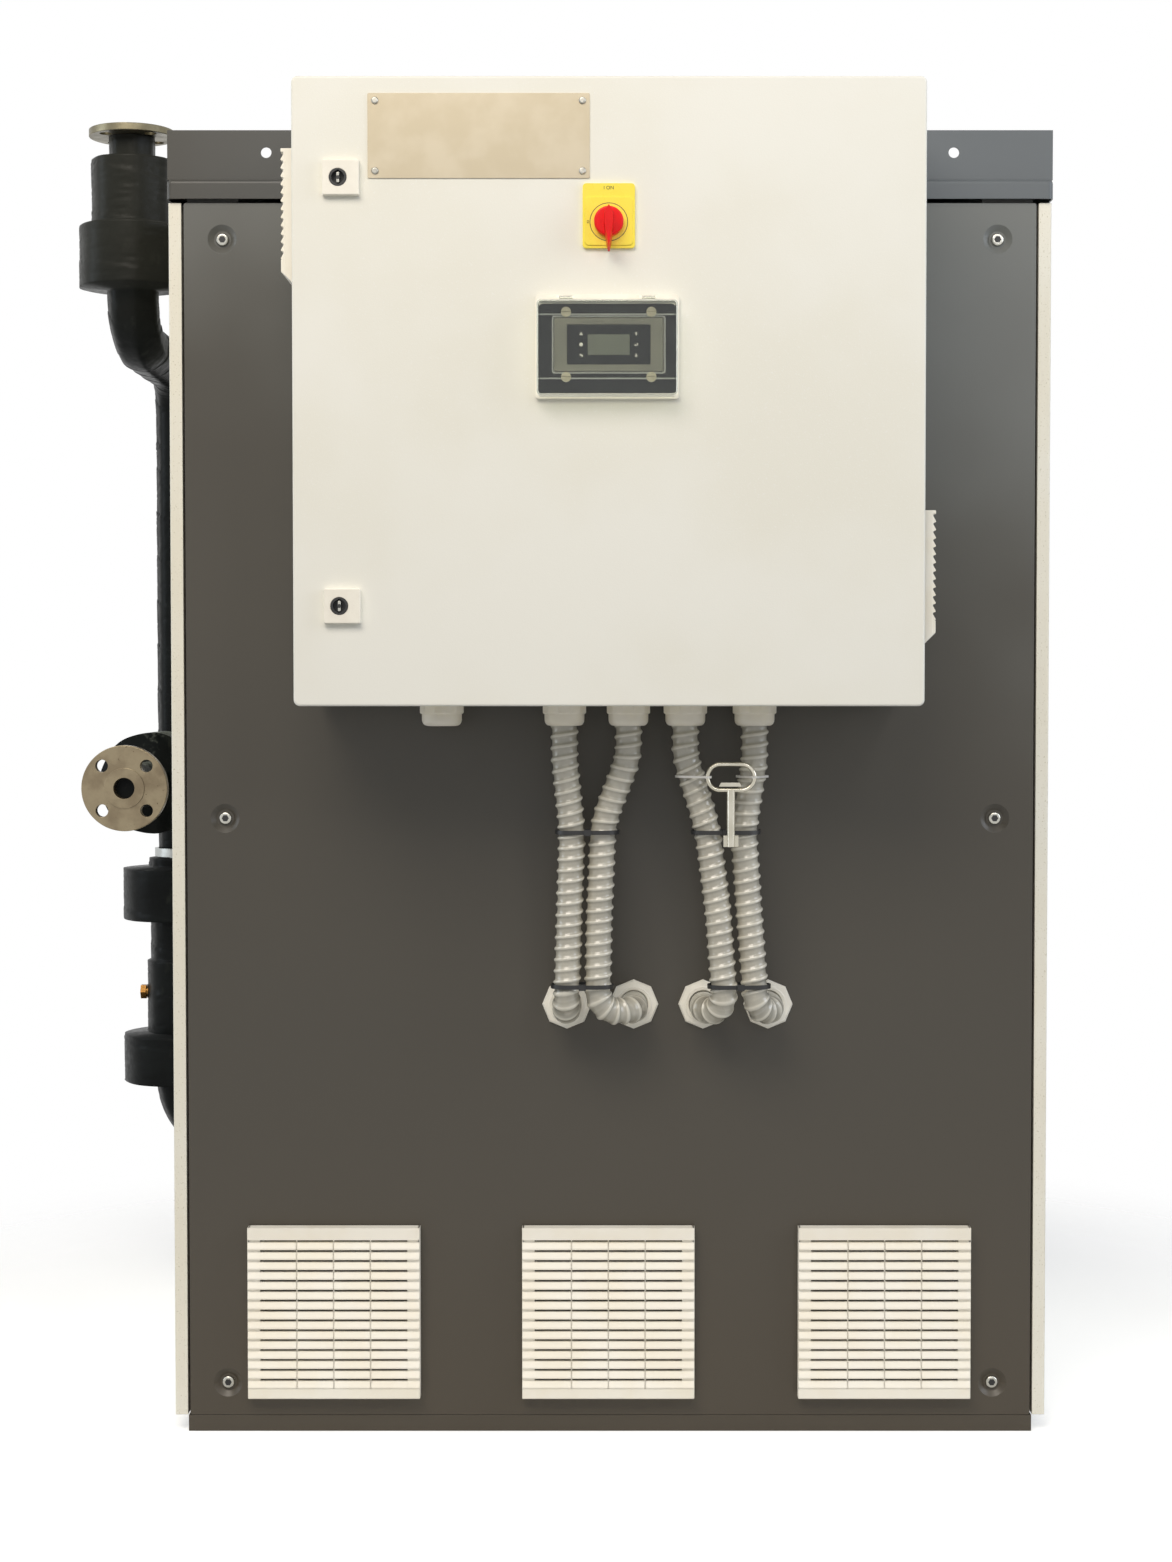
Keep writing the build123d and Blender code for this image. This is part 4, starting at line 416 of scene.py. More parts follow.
# Noise with features of a size in mm
def grain(tree, place, size, detail=2.0, stretch=None):
    if stretch:
        place = addNode(tree, "ShaderNodeMapping", {"Vector": place, "Scale": stretch})
    return addNode(tree, "ShaderNodeTexNoise", {"Vector": place, "Scale": 1000 / size, "Detail": detail})


# A blend of two colours by a factor between two limits
def blend(tree, factor, low, high, first, second):
    share = addNode(tree, "ShaderNodeMapRange", [
        factor, low, high, 0.0, 1.0,
    ], interpolation_type="SMOOTHSTEP")
    return addNode(tree, "ShaderNodeMix", [share, first, second], data_type="RGBA")


# Edges that catch the light over a radius in mm, under layers of relief: each a height and a depth in mm
def relief(tree, edge, *layers):
    normal = None
    if edge:
        normal = addNode(tree, "ShaderNodeBevel", {"Radius": edge * mm}, samples=4)
    for height, depth in layers:
        normal = addNode(tree, "ShaderNodeBump", {
            "Strength": 1.0, "Distance": depth * mm, "Height": height, "Normal": normal,
        })
    return normal


# Links the patterns to the shader, and sets its plain values
def finish(tree, shader, colour=None, gloss=None, normal=None, **values):
    for title, node in (("Base Color", colour), ("Roughness", gloss), ("Normal", normal)):
        if node:
            tree.links.new(firstOutput(node), shader.inputs[title])
    titles = {
        "metallic": "Metallic", "ior": "IOR", "coat": "Coat Weight", "coatRoughness": "Coat Roughness",
        "specular": "Specular IOR Level", "sheen": "Sheen Weight", "transmission": "Transmission Weight",
        "roughness": "Roughness",
    }
    for name, value in values.items():
        shader.inputs[titles[name]].default_value = value


# A coat of paint or a plastic skin: two close colours drift into each other, with specks 2 mm wide, the
# gloss varies, the surface has a fine grain with a depth in mm, and edges catch the light
def coated(name, values):
    material, tree, place, shader, output = newMaterial(name)
    drift = grain(tree, place, values["driftSize"], 3.0)
    colour = blend(tree, drift, 0.35, 0.65, linear(values["colour"]), linear(values["second"]))
    speck = linear(values.get("speck", values["second"]))
    dusty = blend(tree, grain(tree, place, 2.0, 1.0), 0.62, 0.8, colour, speck)
    gloss = addNode(tree, "ShaderNodeMapRange", [drift, 0.3, 0.7, *values["roughness"]])
    texture = grain(tree, place, values["grainSize"])
    normal = relief(tree, values.get("edge", 0.5), (texture, values["grainDepth"]))
    finish(tree, shader, dusty, gloss, normal, **values.get("more", {}))
    return material


# Powder-coated sheet of the cabinet: dark warm grey, lighter and cooler towards its top by a painted reflection,
# and browner at its foot by a painted warm reflection. The lean says how much X and Z count, and the range where
# the painted reflection's colour begins and is reached.
darkPanelValues = {
    "lean": (0.35, 1.0), "range": (1.15, 1.85), "cloudSize": 260, "edge": 0.8,
    "colour": "#46423a", "paintedReflection": "#6d6f6c", "low": "#4c453a",
    "peelSize": 1.6, "peelDepth": 0.035, "swellSize": 330, "swellDepth": 1.1, "roughness": (0.33, 0.42),
}

# The hood's coat: darker and browner at its left by painted shade, cooler at its right by a painted reflection
hoodValues = {
    **darkPanelValues, "lean": (1.0, 0.0), "range": (-0.45, 0.6),
    "colour": "#38352d", "paintedReflection": "#5d6265", "low": "#38352d",
}


def gradedPaint(name, values):
    material, tree, place, shader, output = newMaterial(name)
    axes = addNode(tree, "ShaderNodeSeparateXYZ", [place])
    leanX, leanZ = values["lean"]
    across = addNode(tree, "ShaderNodeMath", [axes.outputs["X"], leanX], operation="MULTIPLY")
    reach = addNode(tree, "ShaderNodeMath", [axes.outputs["Z"], leanZ, across], operation="MULTIPLY_ADD")
    cloud = grain(tree, place, values["cloudSize"])
    soft = addNode(tree, "ShaderNodeMath", [cloud, 0.5, reach], operation="MULTIPLY_ADD")
    # The second colour is painted reflection: lighter and cooler at the panel's top and at the hood's right
    paintedReflection = blend(tree, soft, *values["range"], linear(values["colour"]), linear(values["paintedReflection"]))
    # The low colour is a painted warm reflection at the panel's foot
    warm = blend(tree, axes.outputs["Z"], 0.5, 0.0, paintedReflection, linear(values["low"]))
    gloss = addNode(tree, "ShaderNodeMapRange", [cloud, 0.3, 0.7, *values["roughness"]])
    peel = grain(tree, place, values["peelSize"], 1.0)
    swell = grain(tree, place, values["swellSize"], 0.5)
    normal = relief(tree, values["edge"], (peel, values["peelDepth"]), (swell, values["swellDepth"]))
    finish(tree, shader, warm, gloss, normal, specular=0.45)
    return material


# Black elastomer and tape: satin, a little bluish, with dust in bands, a painted highlight on faces that point
# upwards, and lighter and browner on the sleeves at the top, between two heights in metres
laggingValues = {
    "colour": "#060807", "second": "#0e1110", "dust": "#45473f", "cut": "#5f635c", "upperTone": "#2f2f29",
    "upperHeights": (1.3, 1.46), "roughness": (0.3, 0.46), "crinkleSize": 9, "crinkleDepth": 0.25,
}


def laggingSkin():
    values = laggingValues
    material, tree, place, shader, output = newMaterial("lagging")
    cloud = grain(tree, place, 45, 4.0)
    base = blend(tree, cloud, 0.38, 0.66, linear(values["colour"]), linear(values["second"]))
    # The colour named cut is a painted highlight, laid on faces that point upwards
    face = addNode(tree, "ShaderNodeNewGeometry")
    up = addNode(tree, "ShaderNodeSeparateXYZ", [face.outputs["Normal"]]).outputs["Z"]
    fine = grain(tree, place, 7, 4.0)
    raised = addNode(tree, "ShaderNodeMath", [fine, 0.5, up], operation="MULTIPLY_ADD")
    cut = blend(tree, raised, 1.0, 1.22, base, linear(values["cut"]))
    scuffs = grain(tree, place, 22, 5.0, (1.0, 1.0, 0.5))
    dusty = blend(tree, scuffs, 0.6, 0.78, cut, linear(values["dust"]))
    share = addNode(tree, "ShaderNodeMix", [0.3, cut, dusty], data_type="RGBA")
    # Lighter and browner on the sleeves between the two heights
    height = addNode(tree, "ShaderNodeSeparateXYZ", [place]).outputs["Z"]
    upperTone = addNode(tree, "ShaderNodeMapRange", [
        height, *values["upperHeights"], 0.0, 0.7,
    ], interpolation_type="SMOOTHSTEP")
    share = addNode(tree, "ShaderNodeMix", [upperTone, share, linear(values["upperTone"])], data_type="RGBA")
    gloss = addNode(tree, "ShaderNodeMapRange", [fine, 0.3, 0.7, *values["roughness"]])
    crinkle = grain(tree, place, values["crinkleSize"], 4.0)
    finish(tree, shader, share, gloss, relief(tree, None, (crinkle, values["crinkleDepth"])), specular=0.1)
    return material


# Turned steel: cutting marks in rings about an axis, 1.1 mm apart, warm grey, with stains and rust spots
def turnedSteel(name, centre, axis, colour, second):
    material, tree, place, shader, output = newMaterial(name)
    away = addNode(tree, "ShaderNodeVectorMath", [place, [c * mm for c in centre]], operation="SUBTRACT")
    rings = addNode(tree, "ShaderNodeTexWave", {
        "Vector": away, "Scale": 1000 / 1.1 / 20 * math.pi, "Distortion": 0.15, "Detail": 1.0,
    }, wave_type="RINGS", rings_direction=axis)
    stains = grain(tree, place, 24, 4.0)
    base = blend(tree, stains, 0.36, 0.7, linear(colour), linear(second))
    rusty = blend(tree, grain(tree, place, 5), 0.7, 0.78, base, linear("#544534"))
    gloss = addNode(tree, "ShaderNodeMapRange", [stains, 0.3, 0.7, 0.26, 0.44])
    finish(tree, shader, rusty, gloss, relief(tree, 0.7, (rings, 0.02)), metallic=0.85)
    return material


# Metal with fine lines one way: stretch is 1 across the lines and small along them
def brushedMetal(name, values):
    material, tree, place, shader, output = newMaterial(name)
    lines = grain(tree, place, values["lineSize"], 3.0, values["stretch"])
    cloud = grain(tree, place, 35, 3.0)
    base = blend(tree, cloud, 0.35, 0.7, linear(values["colour"]), linear(values["second"]))
    gloss = addNode(tree, "ShaderNodeMapRange", [lines, 0.3, 0.7, *values["roughness"]])
    normal = relief(tree, 0.4, (lines, values["depth"]))
    finish(tree, shader, base, gloss, normal, metallic=values["metallic"])
    return material


# Clear acrylic lid: faintly grey, with light let through to what lies under it, and a painted white highlight
# along its walls
def clearPlastic():
    material, tree, place, shader, output = newMaterial("clearPlastic")
    gloss = addNode(tree, "ShaderNodeMapRange", [grain(tree, place, 30, 3.0), 0.4, 0.7, 0.02, 0.09])
    shader.inputs["Base Color"].default_value = linear("#c6c9c4")
    finish(tree, shader, gloss=gloss, transmission=1.0, ior=1.49, specular=0.3)
    # Painted highlight: white diffuse mixed in where the walls turn away from the front
    face = addNode(tree, "ShaderNodeNewGeometry").outputs["Normal"]
    facing = addNode(tree, "ShaderNodeSeparateXYZ", [face]).outputs["Y"]
    facing = addNode(tree, "ShaderNodeMath", [facing], operation="ABSOLUTE")
    wall = addNode(tree, "ShaderNodeMapRange", [facing, 0.25, 0.9, 0.6, 0.0])
    paintedWallHighlight = addNode(tree, "ShaderNodeBsdfDiffuse", [linear("#fbfaf4")])
    body = addNode(tree, "ShaderNodeMixShader", [wall, shader, paintedWallHighlight])
    light = addNode(tree, "ShaderNodeLightPath").outputs["Is Shadow Ray"]
    through = addNode(tree, "ShaderNodeBsdfTransparent", [linear("#e6e7e3")])
    mixed = addNode(tree, "ShaderNodeMixShader", [light, body, through])
    tree.links.new(mixed.outputs[0], output.inputs["Surface"])
    return material


# The switch's glossy yellow plate, with a ring printed round the knob, sizes in mm
switchPlate = {
    "centre": (-1.3, 1392.0), "ring": 20.5, "halfWidth": 0.4, "yellow": "#fbe84c", "ink": "#2b2a22",
}


def printedYellow():
    values = switchPlate
    material, tree, place, shader, output = newMaterial("yellowPlastic")
    x, z = values["centre"]
    away = addNode(tree, "ShaderNodeVectorMath", [place, (x * mm, 0, z * mm)], operation="SUBTRACT")
    axes = addNode(tree, "ShaderNodeSeparateXYZ", [away])
    flat = addNode(tree, "ShaderNodeCombineXYZ", [axes.outputs["X"], 0.0, axes.outputs["Z"]])
    radius = addNode(tree, "ShaderNodeVectorMath", [flat], operation="LENGTH").outputs["Value"]
    onRing = addNode(tree, "ShaderNodeMath", [
        radius, values["ring"] * mm, values["halfWidth"] * mm,
    ], operation="COMPARE")
    inks = blend(tree, onRing, 0.2, 0.8, linear(values["yellow"]), linear(values["ink"]))
    gloss = addNode(tree, "ShaderNodeMapRange", [grain(tree, place, 12), 0.3, 0.7, 0.24, 0.34])
    finish(tree, shader, inks, gloss, relief(tree, 0.5, (grain(tree, place, 0.9), 0.02)))
    return material


# The nameplate's rivets are steel and the window's screws, below a height of 1.34 m, are cream nylon
def fastenerFinish():
    material, tree, place, shader, output = newMaterial("fastenerFinish")
    height = addNode(tree, "ShaderNodeSeparateXYZ", [place]).outputs["Z"]
    steel = addNode(tree, "ShaderNodeMath", [height, 1.34], operation="GREATER_THAN")
    cloud = grain(tree, place, 6, 3.0)
    nylon = blend(tree, cloud, 0.35, 0.7, linear("#c9c1a8"), linear("#b9b197"))
    metal = blend(tree, cloud, 0.35, 0.7, linear("#9c9a92"), linear("#b1afa7"))
    both = addNode(tree, "ShaderNodeMix", [steel, nylon, metal], data_type="RGBA")
    gloss = addNode(tree, "ShaderNodeMapRange", [cloud, 0.3, 0.7, 0.3, 0.42])
    finish(tree, shader, both, gloss, relief(tree, 0.4))
    tree.links.new(steel.outputs[0], shader.inputs["Metallic"])
    return material


# Liquid crystal screen that is off: olive grey with its rows of dots, 0.36 mm apart, just visible
def screenGlass():
    material, tree, place, shader, output = newMaterial("screenGlass")
    grid = addNode(tree, "ShaderNodeVectorMath", {"Vector": place, "Scale": 1000 / 0.36}, operation="SCALE")
    cells = addNode(tree, "ShaderNodeVectorMath", [grid], operation="FRACTION")
    axes = addNode(tree, "ShaderNodeSeparateXYZ", [cells])
    lines = addNode(tree, "ShaderNodeMath", [axes.outputs["X"], axes.outputs["Z"]], operation="MINIMUM")
    dots = blend(tree, lines, 0.08, 0.2, linear("#74776a"), linear("#686b5d"))
    shade = blend(tree, grain(tree, place, 25), 0.35, 0.7, dots, linear("#707365"))
    finish(tree, shader, shade, roughness=0.18, coat=0.6, coatRoughness=0.04)
    return material


# Felt of the filter mats: dark reddish brown with loose fibres
def filterFelt():
    material, tree, place, shader, output = newMaterial("filterFelt")
    fibres = grain(tree, place, 3.0, 8.0, (1.0, 1.0, 0.35))
    base = blend(tree, fibres, 0.4, 0.65, linear("#2a150d"), linear("#542e1d"))
    finish(tree, shader, base, None, relief(tree, None, (fibres, 0.8)), roughness=0.95, sheen=0.3)
    return material


# Grey flexible conduit: glossy soft plastic with slight cloudiness and a painted highlight on its crests
def conduitPlastic():
    material, tree, place, shader, output = newMaterial("conduitPlastic")
    cloud = grain(tree, place, 40, 3.0)
    base = blend(tree, cloud, 0.35, 0.68, linear("#aaa699"), linear("#b8b4a6"))
    # Painted highlight: the paler colour goes where the ribs' crests are pointy
    crest = addNode(tree, "ShaderNodeNewGeometry").outputs["Pointiness"]
    crestHighlight = blend(tree, crest, 0.503, 0.53, base, linear("#d4d0c2"))
    gloss = addNode(tree, "ShaderNodeMapRange", [cloud, 0.3, 0.7, 0.2, 0.3])
    normal = relief(tree, None, (grain(tree, place, 1.2), 0.03))
    finish(tree, shader, crestHighlight, gloss, normal, coat=0.6, coatRoughness=0.06)
    return material


# Values of the coats and plastics that differ only in colour, gloss and grain, sizes in mm
coats = {
    "creamBoard": {"colour": "#ece7d6", "second": "#efecdf", "driftSize": 220, "roughness": (0.42, 0.55),
                   "grainSize": 2.4, "grainDepth": 0.06, "speck": "#cfc9b3", "edge": 1.0},
    "enclosurePaint": {"colour": "#eae8dc", "second": "#eeede4", "driftSize": 240,
                       "roughness": (0.38, 0.46), "grainSize": 1.3, "grainDepth": 0.09, "edge": 0.8},
    "grillePlastic": {"colour": "#f7f0df", "second": "#faf5e8", "driftSize": 60,
                      "roughness": (0.33, 0.45), "grainSize": 0.8, "grainDepth": 0.03},
    "glandPlastic": {"colour": "#f6efdc", "second": "#f8f2e4", "driftSize": 30,
                     "roughness": (0.35, 0.45), "grainSize": 0.9, "grainDepth": 0.04, "edge": 0.9},
    "whitePlastic": {"colour": "#f7f3e6", "second": "#f1ecdf", "driftSize": 25,
                     "roughness": (0.32, 0.42), "grainSize": 0.9, "grainDepth": 0.04, "edge": 0.9},
    "tieWhite": {"colour": "#e6e4e0", "second": "#dcdad4", "driftSize": 10,
                 "roughness": (0.35, 0.45), "grainSize": 0.8, "grainDepth": 0.03},
    "blackPlastic": {"colour": "#1b1b1b", "second": "#222222", "driftSize": 20,
                     "roughness": (0.34, 0.46), "grainSize": 0.8, "grainDepth": 0.03},
    "greyPlastic": {"colour": "#a3a4a0", "second": "#adaea9", "driftSize": 30,
                    "roughness": (0.4, 0.5), "grainSize": 0.8, "grainDepth": 0.04},
    "ductGrey": {"colour": "#a9adae", "second": "#b1b4b4", "driftSize": 60,
                 "roughness": (0.45, 0.55), "grainSize": 1.1, "grainDepth": 0.04},
    "terminalBeige": {"colour": "#c9bf9e", "second": "#bfb592", "driftSize": 18,
                      "roughness": (0.38, 0.5), "grainSize": 0.8, "grainDepth": 0.03},
    "deviceGrey": {"colour": "#43474a", "second": "#4e5255", "driftSize": 40,
                   "roughness": (0.38, 0.48), "grainSize": 0.9, "grainDepth": 0.04},
    "redPlastic": {"colour": "#e20208", "second": "#ea080c", "driftSize": 14,
                   "roughness": (0.3, 0.4), "grainSize": 0.9, "grainDepth": 0.02, "edge": 0.8,
                   "more": {"specular": 0.3}},
    "displayBlack": {"colour": "#0f1415", "second": "#15191a", "driftSize": 30,
                     "roughness": (0.28, 0.38), "grainSize": 0.7, "grainDepth": 0.03,
                     "more": {"specular": 0.2}},
    "bezelGrey": {"colour": "#858274", "second": "#7b796c", "driftSize": 30,
                  "roughness": (0.35, 0.45), "grainSize": 0.8, "grainDepth": 0.03},
    "framePaint": {"colour": "#4c4b47", "second": "#545350", "driftSize": 120,
                   "roughness": (0.45, 0.6), "grainSize": 1.5, "grainDepth": 0.06},
    "compressorPaint": {"colour": "#141516", "second": "#1d1e20", "driftSize": 60,
                        "roughness": (0.3, 0.42), "grainSize": 2.2, "grainDepth": 0.06, "edge": 1.5},
    "rubber": {"colour": "#1a1a19", "second": "#242423", "driftSize": 15,
               "roughness": (0.65, 0.8), "grainSize": 1.0, "grainDepth": 0.08},
}

# Metals, with their lines' size and depth in mm
metals = {
    "nameplateSteel": {"colour": "#b9ad94", "second": "#c0b59e", "lineSize": 0.8, "depth": 0.004,
                       "stretch": (0.05, 1.0, 1.0), "roughness": (0.3, 0.36), "metallic": 0.45},
    "zincSteel": {"colour": "#b9bbb8", "second": "#a9aba6", "lineSize": 5.0, "depth": 0.02,
                  "stretch": (1.0, 1.0, 0.6), "roughness": (0.3, 0.46), "metallic": 0.9},
    "polishedSteel": {"colour": "#b5b3aa", "second": "#c2c0b7", "lineSize": 2.0, "depth": 0.01,
                      "stretch": (1.0, 0.2, 1.0), "roughness": (0.16, 0.28), "metallic": 1.0},
    "chrome": {"colour": "#bab5a5", "second": "#cbc6b8", "lineSize": 3.0, "depth": 0.015,
               "stretch": (1.0, 1.0, 0.3), "roughness": (0.14, 0.26), "metallic": 1.0},
    "brass": {"colour": "#9c713a", "second": "#7d5a2e", "lineSize": 2.0, "depth": 0.03,
              "stretch": (0.3, 1.0, 1.0), "roughness": (0.28, 0.42), "metallic": 0.95},
    "copper": {"colour": "#b8704c", "second": "#9d5d3f", "lineSize": 8.0, "depth": 0.02,
               "stretch": (0.5, 0.5, 0.5), "roughness": (0.26, 0.4), "metallic": 1.0},
    "stainless": {"colour": "#a9a9a5", "second": "#b8b8b3", "lineSize": 3.0, "depth": 0.02,
                  "stretch": (1.0, 1.0, 0.1), "roughness": (0.25, 0.38), "metallic": 1.0},
}

looks = {name: coated(name, values) for name, values in coats.items()}
looks.update({name: brushedMetal(name, values) for name, values in metals.items()})
looks["darkPanel"] = gradedPaint("darkPanel", darkPanelValues)
looks["hoodGrey"] = gradedPaint("hoodGrey", hoodValues)
looks["lagging"] = laggingSkin()
looks["clearPlastic"] = clearPlastic()
looks["yellowPlastic"] = printedYellow()
looks["screenGlass"] = screenGlass()
looks["filterFelt"] = filterFelt()
looks["fastener"] = fastenerFinish()
looks["conduitPlastic"] = conduitPlastic()
looks["topFlange"] = turnedSteel("topFlangeSteel", (-610, -115, 1590), "Z", "#7c755f", "#6a634f")
looks["frontFlange"] = turnedSteel("frontFlangeSteel", (-610, -200, 759), "Y", "#94876e", "#7b6e59")
print("materials made:", len(looks))

# Which finish each piece of the frame has
finishes = {
    "darkPanel": ("front_panel", "rear_panel", "base_tray"),
    "hoodGrey": ("roof_hood", "front_upstand"),
    "creamBoard": ("left_side_panel", "right_side_panel"),
    "framePaint": ("welded_frame",),
    "enclosurePaint": ("enclosure_box", "door_panel"),
    "grillePlastic": ("louvre_covers", "side_grilles"),
    "ductGrey": ("wiring_ducts",),
    "terminalBeige": ("terminal_blocks",),
    "deviceGrey": ("switchgear",),
    "zincSteel": ("wall_brackets", "mounting_plate", "din_rails", "pipe_clamp", "hinge_pins"),
    "polishedSteel": ("panel_screws",),
    "fastener": ("door_fasteners",),
    "chrome": ("door_key",),
    "nameplateSteel": ("nameplate",),
    "yellowPlastic": ("switch_plate",),
    "redPlastic": ("switch_knob",),
    "blackPlastic": ("switch_body", "fan_housing", "fan_rotor", "cable_ties", "louvre_frames",
                     "key_alarm", "key_program", "key_escape", "key_up", "key_enter", "key_down",
                     "lock_lower", "lock_upper"),
    "bezelGrey": ("display_module",),
    "whitePlastic": ("conduit_nuts", "lock_housings", "window_frame"),
    "glandPlastic": ("conduit_glands",),
    "tieWhite": ("key_ties",),
    "clearPlastic": ("window_lid",),
    "rubber": ("door_gasket",),
    "filterFelt": ("filter_mats",),
    "brass": ("strainer_plug",),
    "copper": ("refrigerant_pipes",),
    "stainless": ("water_pipe", "heat_exchangers"),
    "compressorPaint": ("compressor",),
    "topFlange": ("top_flange",),
    "frontFlange": ("front_flange",),
}
for look, names in finishes.items():
    for name in names:
        dress(nodes[name], looks[look])
print("frame pieces dressed")

# Conduits: four ribbed hoses from the glands to the nuts, sizes and routes in mm
conduitValues = {"pitch": 12.9, "root": 14.0, "rib": 2.2, "sharpness": 2.6, "step": 1.15}
glandZ, nutZ, nutFaceY, glandY = 848.0, 511.0, -398.0, -490.0
conduitRoutes = {
    "conduitOne": (
        [(-52, glandY, glandZ), (-52, glandY, 802), (-43.5, -484, 722), (-47, -476, 620),
         (-50.5, -474, nutZ), (-51, nutFaceY, nutZ)], (200, 300, 600, 28)),
    "conduitTwo": (
        [(21, glandY, glandZ), (21, glandY, 806), (-8, -484, 730), (-12.5, -476, 620),
         (-14.5, -474, nutZ), (28, -450, nutZ), (28, nutFaceY, nutZ)], (80, 130, 600, 26, 27)),
    "conduitThree": (
        [(86, glandY, glandZ), (86, glandY, 806), (111, -485, 728), (124, -479, 630),
         (133, -476, nutZ), (110, -448, nutZ), (110, nutFaceY, nutZ)], (90, 300, 500, 25, 26)),
    "conduitFour": (
        [(165, glandY, glandZ), (165, glandY, 800), (153, -484, 722), (160.5, -476, 620),
         (169, -474, nutZ), (187, -443, nutZ), (187, nutFaceY, nutZ)], (150, 180, 600, 25, 26)),
}
hoseTree = ribbedHoseTree()
for name, (corners, bends) in conduitRoutes.items():
    path = filletedPath(corners, bends, conduitValues["step"])
    hose = grow(curveThrough(name, path, [conduitValues["root"]] * len(path)), hoseTree, {
        "Pitch": conduitValues["pitch"] * mm, "Root": conduitValues["root"] * mm,
        "Rib": conduitValues["rib"] * mm, "Sharpness": conduitValues["sharpness"],
        "Material": looks["conduitPlastic"],
    })
    mount(hose, "cabinet", looks["conduitPlastic"])
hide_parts("conduit_pair_left")
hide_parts("conduit_pair_left")
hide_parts("conduit_pair_right")
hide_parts("conduit_pair_right")
print("conduits made")

# Louvred covers: a shell with bands above and below, and rows of slats whose lips stand proud, in mm.
# A tooth is the depth from a slat's lip to the slit above it, a foot is the slope at the lower edge.
frontCover = {"size": 204, "depth": 18, "wall": 2.5, "top": 17.3, "rows": 15, "pitch": 11.8, "tooth": 3.2,
              "margin": 14.8, "rib": 1.6, "foot": 1.2, "recess": 1.2, "backing": 3.8}
sideCover = {**frontCover, "size": 147, "depth": 21, "top": 6.5, "rows": 13, "pitch": 9.0,
             "margin": 8, "foot": 12, "recess": 0.0, "tooth": 3.0}
louvreTree = rowsTree()


def louvredCover(name, values, places, replaced):
    half = values["size"] / 2
    pitch, tooth, depth, wall = (values[key] for key in ("pitch", "tooth", "depth", "wall"))
    plate = tooth + values["backing"]
    lip = [(tooth, 0), (0.25, -0.55 * pitch), (0, -0.66 * pitch), (0.5, -0.74 * pitch)]
    closed = lip + [(tooth - 0.2, -0.82 * pitch), (tooth, -pitch), (plate, -pitch), (plate, 0)]
    blade = lip + [(tooth - 0.6, -0.78 * pitch), (tooth + 2.8, -0.14 * pitch), (tooth + 2.2, 0.06 * pitch)]
    inner = half - values["margin"]
    shapes = [(closed, -half + 0.4, -inner), (closed, inner, half - 0.4)]
    ribs = [-inner + 2 * inner * k / 4 for k in (1, 2, 3)]
    shapes += [(closed, x - values["rib"] / 2, x + values["rib"] / 2) for x in ribs]
    shapes += [(blade, low, high) for low, high in zip([-inner] + ribs, ribs + [inner])]
    slats = grow(bars(name + "Slats", shapes), louvreTree, {
        "Count": values["rows"], "Pitch": pitch * mm, "Material": looks["grillePlastic"],
    })
    slats.data.transform(placeAt(0, 0, half - values["top"]))
    low = half - values["top"] - values["rows"] * pitch
    foot, recess = values["foot"], values["recess"]
    slope = max(plate, recess + foot + 1)
    upper = [(0, half - values["top"] + 0.26 * pitch), (0, half), (depth, half), (depth, half - wall),
             (plate, half - wall), (plate, half - values["top"] + 0.26 * pitch)]
    lower = [(recess, low + 0.24 * pitch), (recess, foot - half), (recess + foot, -half), (depth, -half),
             (depth, wall - half), (slope, wall - half), (plate, low + 0.24 * pitch)]
    side = [(tooth, half), (depth, half), (depth, 0.3 - half), (max(recess + foot, tooth), 0.3 - half),
            (tooth, max(foot - half - tooth + recess, 0.3 - half) + 0.3)]
    edges = [(side, -half, wall - half), (side, half - wall, half)]
    inset = 0.35  # the bands end inside the side walls, so that no two faces lie in one plane
    # Fillers close the first slit at its ends and ribs
    first = half - values["top"]
    filler = [(tooth, first), (plate, first), (plate, first + 0.3 * pitch), (tooth, first + 0.3 * pitch)]
    edges += [(filler, x0 + 0.05, x1 - 0.05) for outline, x0, x1 in shapes if outline is closed]
    bands = [(outline, inset - half, half - inset) for outline in (upper, lower)]
    shell = rounded(bars(name + "Shell", bands + edges), 0.9)
    cover = mount(gathered(name, [slats, shell], places), "cabinet", looks["grillePlastic"])
    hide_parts(replaced)


louvredCover("frontGrilles", frontCover, [placeAt(x, -410, 145) for x in (-327, -2, 325)], "louvre_covers")
ventY = -508.5
louvredCover("sideVents", sideCover, [placeAt(-362, ventY, 1404, -90), placeAt(360, ventY, 1007.5, 90)],
             "side_grilles")

# Glands: a twelve-sided skirt, a rounded dome with a mouth for its conduit, and a lock nut in the box
glandSkirt = [(20.0, 876, 0), (20.0, 875, 0), (24.4, 875, 6), (24.4, 869.5, 6), (20.0, 869.5, 0),
              (20.0, 868, 0), (24.2, 868, 12), (24.6, 867, 12), (24.6, 857, 12), (24.2, 856, 12), (22.8, 855.2, 0)]
glandDome = [(22.7 - 5.2 * (1 - math.cos(t)), 849 - 7 * math.sin(t), 0)
             for t in (k * math.pi / 12 for k in range(7))]
mouth = [(16.8, 842, 0), (16.4, 843, 0), (16.4, 851, 0), (12.6, 851, 0), (12.6, 876, 0)]
closedMouth = [(16.0, 841.6, 0), (0.01, 841.6, 0), (0.01, 876, 0)]
glands = [
    gathered("openGlands", [turned("gland", glandSkirt + glandDome + mouth)],
             [placeAt(x, -490, 0) for x in (-52, 21, 86, 165)]),
    gathered("blankGland", [turned("blank", glandSkirt + glandDome + closedMouth)], [placeAt(-192, -490, 0)]),
]
glands = gathered("conduitGlands", glands, [Matrix()])
mount(glands, "cabinet", looks["glandPlastic"])
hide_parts("conduit_glands")

